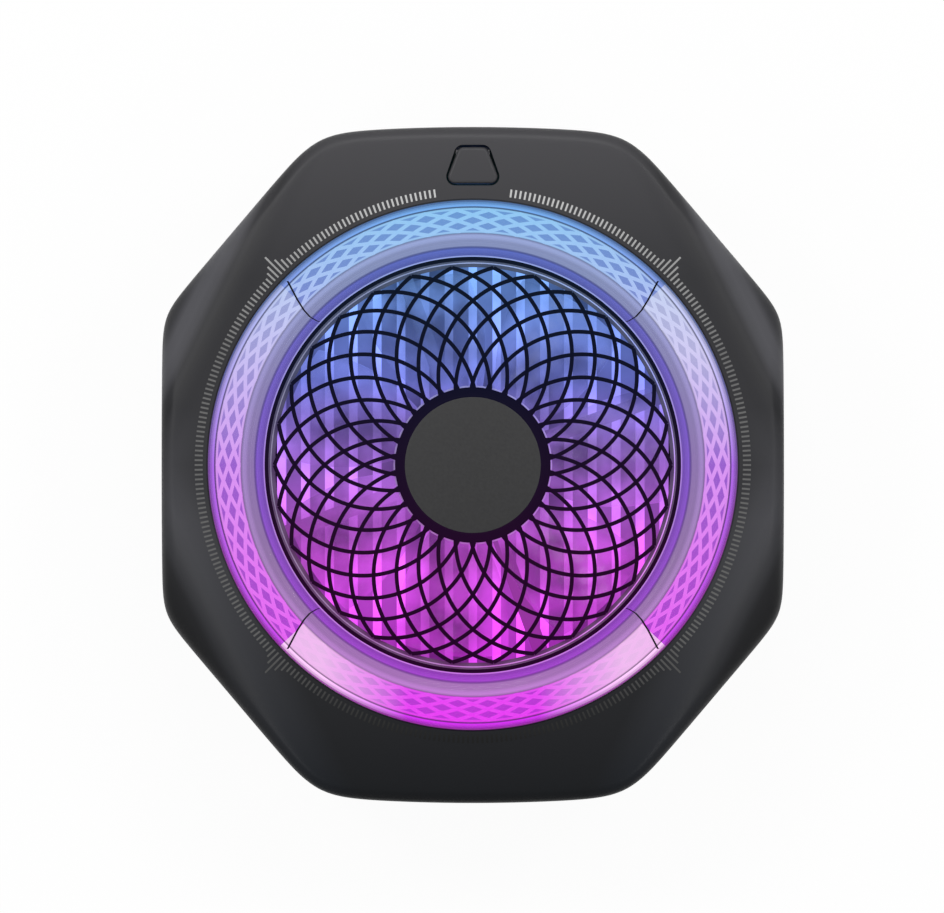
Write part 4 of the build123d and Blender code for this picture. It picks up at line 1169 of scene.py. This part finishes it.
hub_round = 0.5 * mm
hub_wall = 1.0 * mm
fan_hub_piece = turned(
    "fan_hub",
    [
        (fan_hub, rotor_low),
        (fan_hub, rotor_high - hub_round),
        (fan_hub - hub_round, rotor_high),
        (shaft_hole, rotor_high),
        (shaft_hole, rotor_high - hub_wall),
        (fan_hub - hub_wall, rotor_high - hub_wall),
        (fan_hub - hub_wall, rotor_low),
    ],
)
dress(fan_hub_piece, fan_clear)
for piece in (blade, fan_hub_piece):
    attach(piece, "rotor")
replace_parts(blade, "impeller")

# %% [markdown]
# On the back a soft ring rests on the phone. It has rounded lips and two fine
# grooves for grip. Four screws hold the case, each with a cross in its head.

# %% Contact ring and case screws
ring_low, ring_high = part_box("contact_ring")
lip = 0.3 * mm
groove_half = 0.2 * mm
groove_depth = 0.15 * mm
contact_width = 5.8 * mm
contact_inner = ring_high.x - contact_width
profile = [
    (ring_high.x, ring_high.z),
    (ring_high.x, ring_low.z + lip),
    (ring_high.x - 0.3 * lip, ring_low.z + 0.3 * lip),
    (ring_high.x - lip, ring_low.z),
]
for share in (0.3, 0.7):
    middle = ring_high.x - share * contact_width
    profile += [
        (middle + 1.5 * groove_half, ring_low.z),
        (middle + groove_half, ring_low.z + groove_depth),
        (middle - groove_half, ring_low.z + groove_depth),
        (middle - 1.5 * groove_half, ring_low.z),
    ]
profile += [
    (contact_inner + lip, ring_low.z),
    (contact_inner + 0.3 * lip, ring_low.z + 0.3 * lip),
    (contact_inner, ring_low.z + lip),
    (contact_inner, ring_high.z),
]
contact = dress(turned("contact_ring_skin", profile), soft_black)
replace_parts(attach(contact, "housing"), "contact_ring")

screw_low, screw_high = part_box("case_screws")
head_radius = 1.42 * mm
head_height = 0.9 * mm
shank_radius = 0.7 * mm
cad_head_radius = 1.5 * mm
screw_x = screw_high.x - cad_head_radius
screw_y = screw_high.y - cad_head_radius
screw = turned(
    "case_screw_set",
    [
        (0.75 * head_radius, screw_low.z),
        (0.93 * head_radius, screw_low.z + 0.1 * mm),
        (head_radius, screw_low.z + 0.35 * mm),
        (head_radius, screw_low.z + head_height),
        (shank_radius, screw_low.z + head_height),
        (shank_radius, screw_high.z),
    ],
    48,
    closed=False,
)
slot_half = 0.17 * mm
slot_reach = 0.85 * mm
slot_depth = 0.5 * mm
bar = strip(-slot_reach, slot_reach, slot_half)
for points in (bar, [(-y, x) for x, y in bar]):
    slot = prism("slot", points, screw_low.z - 0.2 * mm, screw_low.z + slot_depth)
    boolean(screw, slot, "DIFFERENCE")
screw_turn = 0.4
places = [(a * screw_x, b * screw_y, a * b * screw_turn) for a in (-1, 1) for b in (-1, 1)]
dress(copies(screw, places), steel)
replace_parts(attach(screw, "housing"), "case_screws")

# %% [markdown]
# The stage is a plain floor under a plain sky, both nearly white to the camera.
# The sky is white in mirrors too, but lights the object at less than half that.

# %% Floor and light
floor_size = 4.0
start_clean()
bpy.ops.mesh.primitive_plane_add(size=floor_size, location=(0, 0, cad_box[0].z - 0.2 * mm))
floor = bpy.context.object
floor.name = "floor"
pale = bpy.data.materials.new("pale_floor")
pale.use_nodes = True
tree = pale.node_tree
tree.nodes.clear()
output = tree.nodes.new("ShaderNodeOutputMaterial")
blend = tree.nodes.new("ShaderNodeMixShader")
matt = tree.nodes.new("ShaderNodeBsdfDiffuse")
matt.inputs[0].default_value = (0.9, 0.9, 0.9, 1)
bright = tree.nodes.new("ShaderNodeEmission")
bright.inputs["Strength"].default_value = 1.0
seen = tree.nodes.new("ShaderNodeLightPath")
share = tree.nodes.new("ShaderNodeMath")
share.operation = "MULTIPLY"
share.inputs[1].default_value = 0.95
tree.links.new(seen.outputs["Is Camera Ray"], share.inputs[0])
tree.links.new(share.outputs[0], blend.inputs[0])
tree.links.new(matt.outputs[0], blend.inputs[1])
tree.links.new(bright.outputs[0], blend.inputs[2])
tree.links.new(blend.outputs[0], output.inputs[0])
floor.data.materials.append(pale)

world = bpy.data.worlds.new("studio")
bpy.context.scene.world = world
world.use_nodes = True
sky = world.node_tree
back = sky.nodes["Background"]
back.inputs[0].default_value = (1, 1, 1, 1)
path = sky.nodes.new("ShaderNodeLightPath")
rays = path.outputs["Is Camera Ray"]
for kind in ("Is Glossy Ray", "Is Transmission Ray"):
    either = sky.nodes.new("ShaderNodeMath")
    either.operation = "MAXIMUM"
    sky.links.new(rays, either.inputs[0])
    sky.links.new(path.outputs[kind], either.inputs[1])
    rays = either.outputs[0]
level = sky.nodes.new("ShaderNodeMapRange")
level.inputs["To Min"].default_value = 0.4
level.inputs["To Max"].default_value = 1.0
sky.links.new(rays, level.inputs["Value"])
sky.links.new(level.outputs[0], back.inputs["Strength"])


def soft_lamp(name, place, size, power):
    """A square lamp that points at the middle of the object."""
    data = bpy.data.lights.new(name, "AREA")
    data.size = size
    data.energy = power
    lamp = bpy.data.objects.new(name, data)
    lamp.location = place
    aim = -lamp.location
    lamp.rotation_mode = "QUATERNION"
    lamp.rotation_quaternion = aim.to_track_quat("-Z", "Y")
    bpy.context.scene.collection.objects.link(lamp)


soft_lamp("top_lamp", (0.0, 0.2, 0.28), 0.12, 0.3)
soft_lamp("top_left_lamp", (-0.21, 0.13, 0.4), 0.08, 0.42)
soft_lamp("top_right_lamp", (0.21, 0.13, 0.4), 0.08, 0.34)
soft_lamp("low_left_lamp", (-0.21, -0.13, 0.4), 0.08, 0.18)
soft_lamp("low_right_lamp", (0.21, -0.13, 0.4), 0.08, 0.18)

# %% [markdown]
# The camera looks straight down on the face through a long lens. Its distance
# and lens give the face the same size in the frame as in the photograph.

# %% Camera
image_width = 944
image_height = 913
object_centre_px = (472.8, 465.0)
face_width_px = 622.5
pixel_size = 2 * half_width / face_width_px
camera_distance = 0.9
camera_data = bpy.data.cameras.new("camera")
camera_data.sensor_width = 36.0
camera_data.lens = camera_data.sensor_width * camera_distance / (image_width * pixel_size)
camera_data.clip_start = 0.01
camera = bpy.data.objects.new("camera", camera_data)
camera.location = (
    (image_width / 2 - object_centre_px[0]) * pixel_size,
    (object_centre_px[1] - image_height / 2) * pixel_size,
    face_height - edge_round + camera_distance,
)
bpy.context.scene.collection.objects.link(camera)
bpy.context.scene.camera = camera
bpy.context.scene.view_settings.view_transform = "Standard"
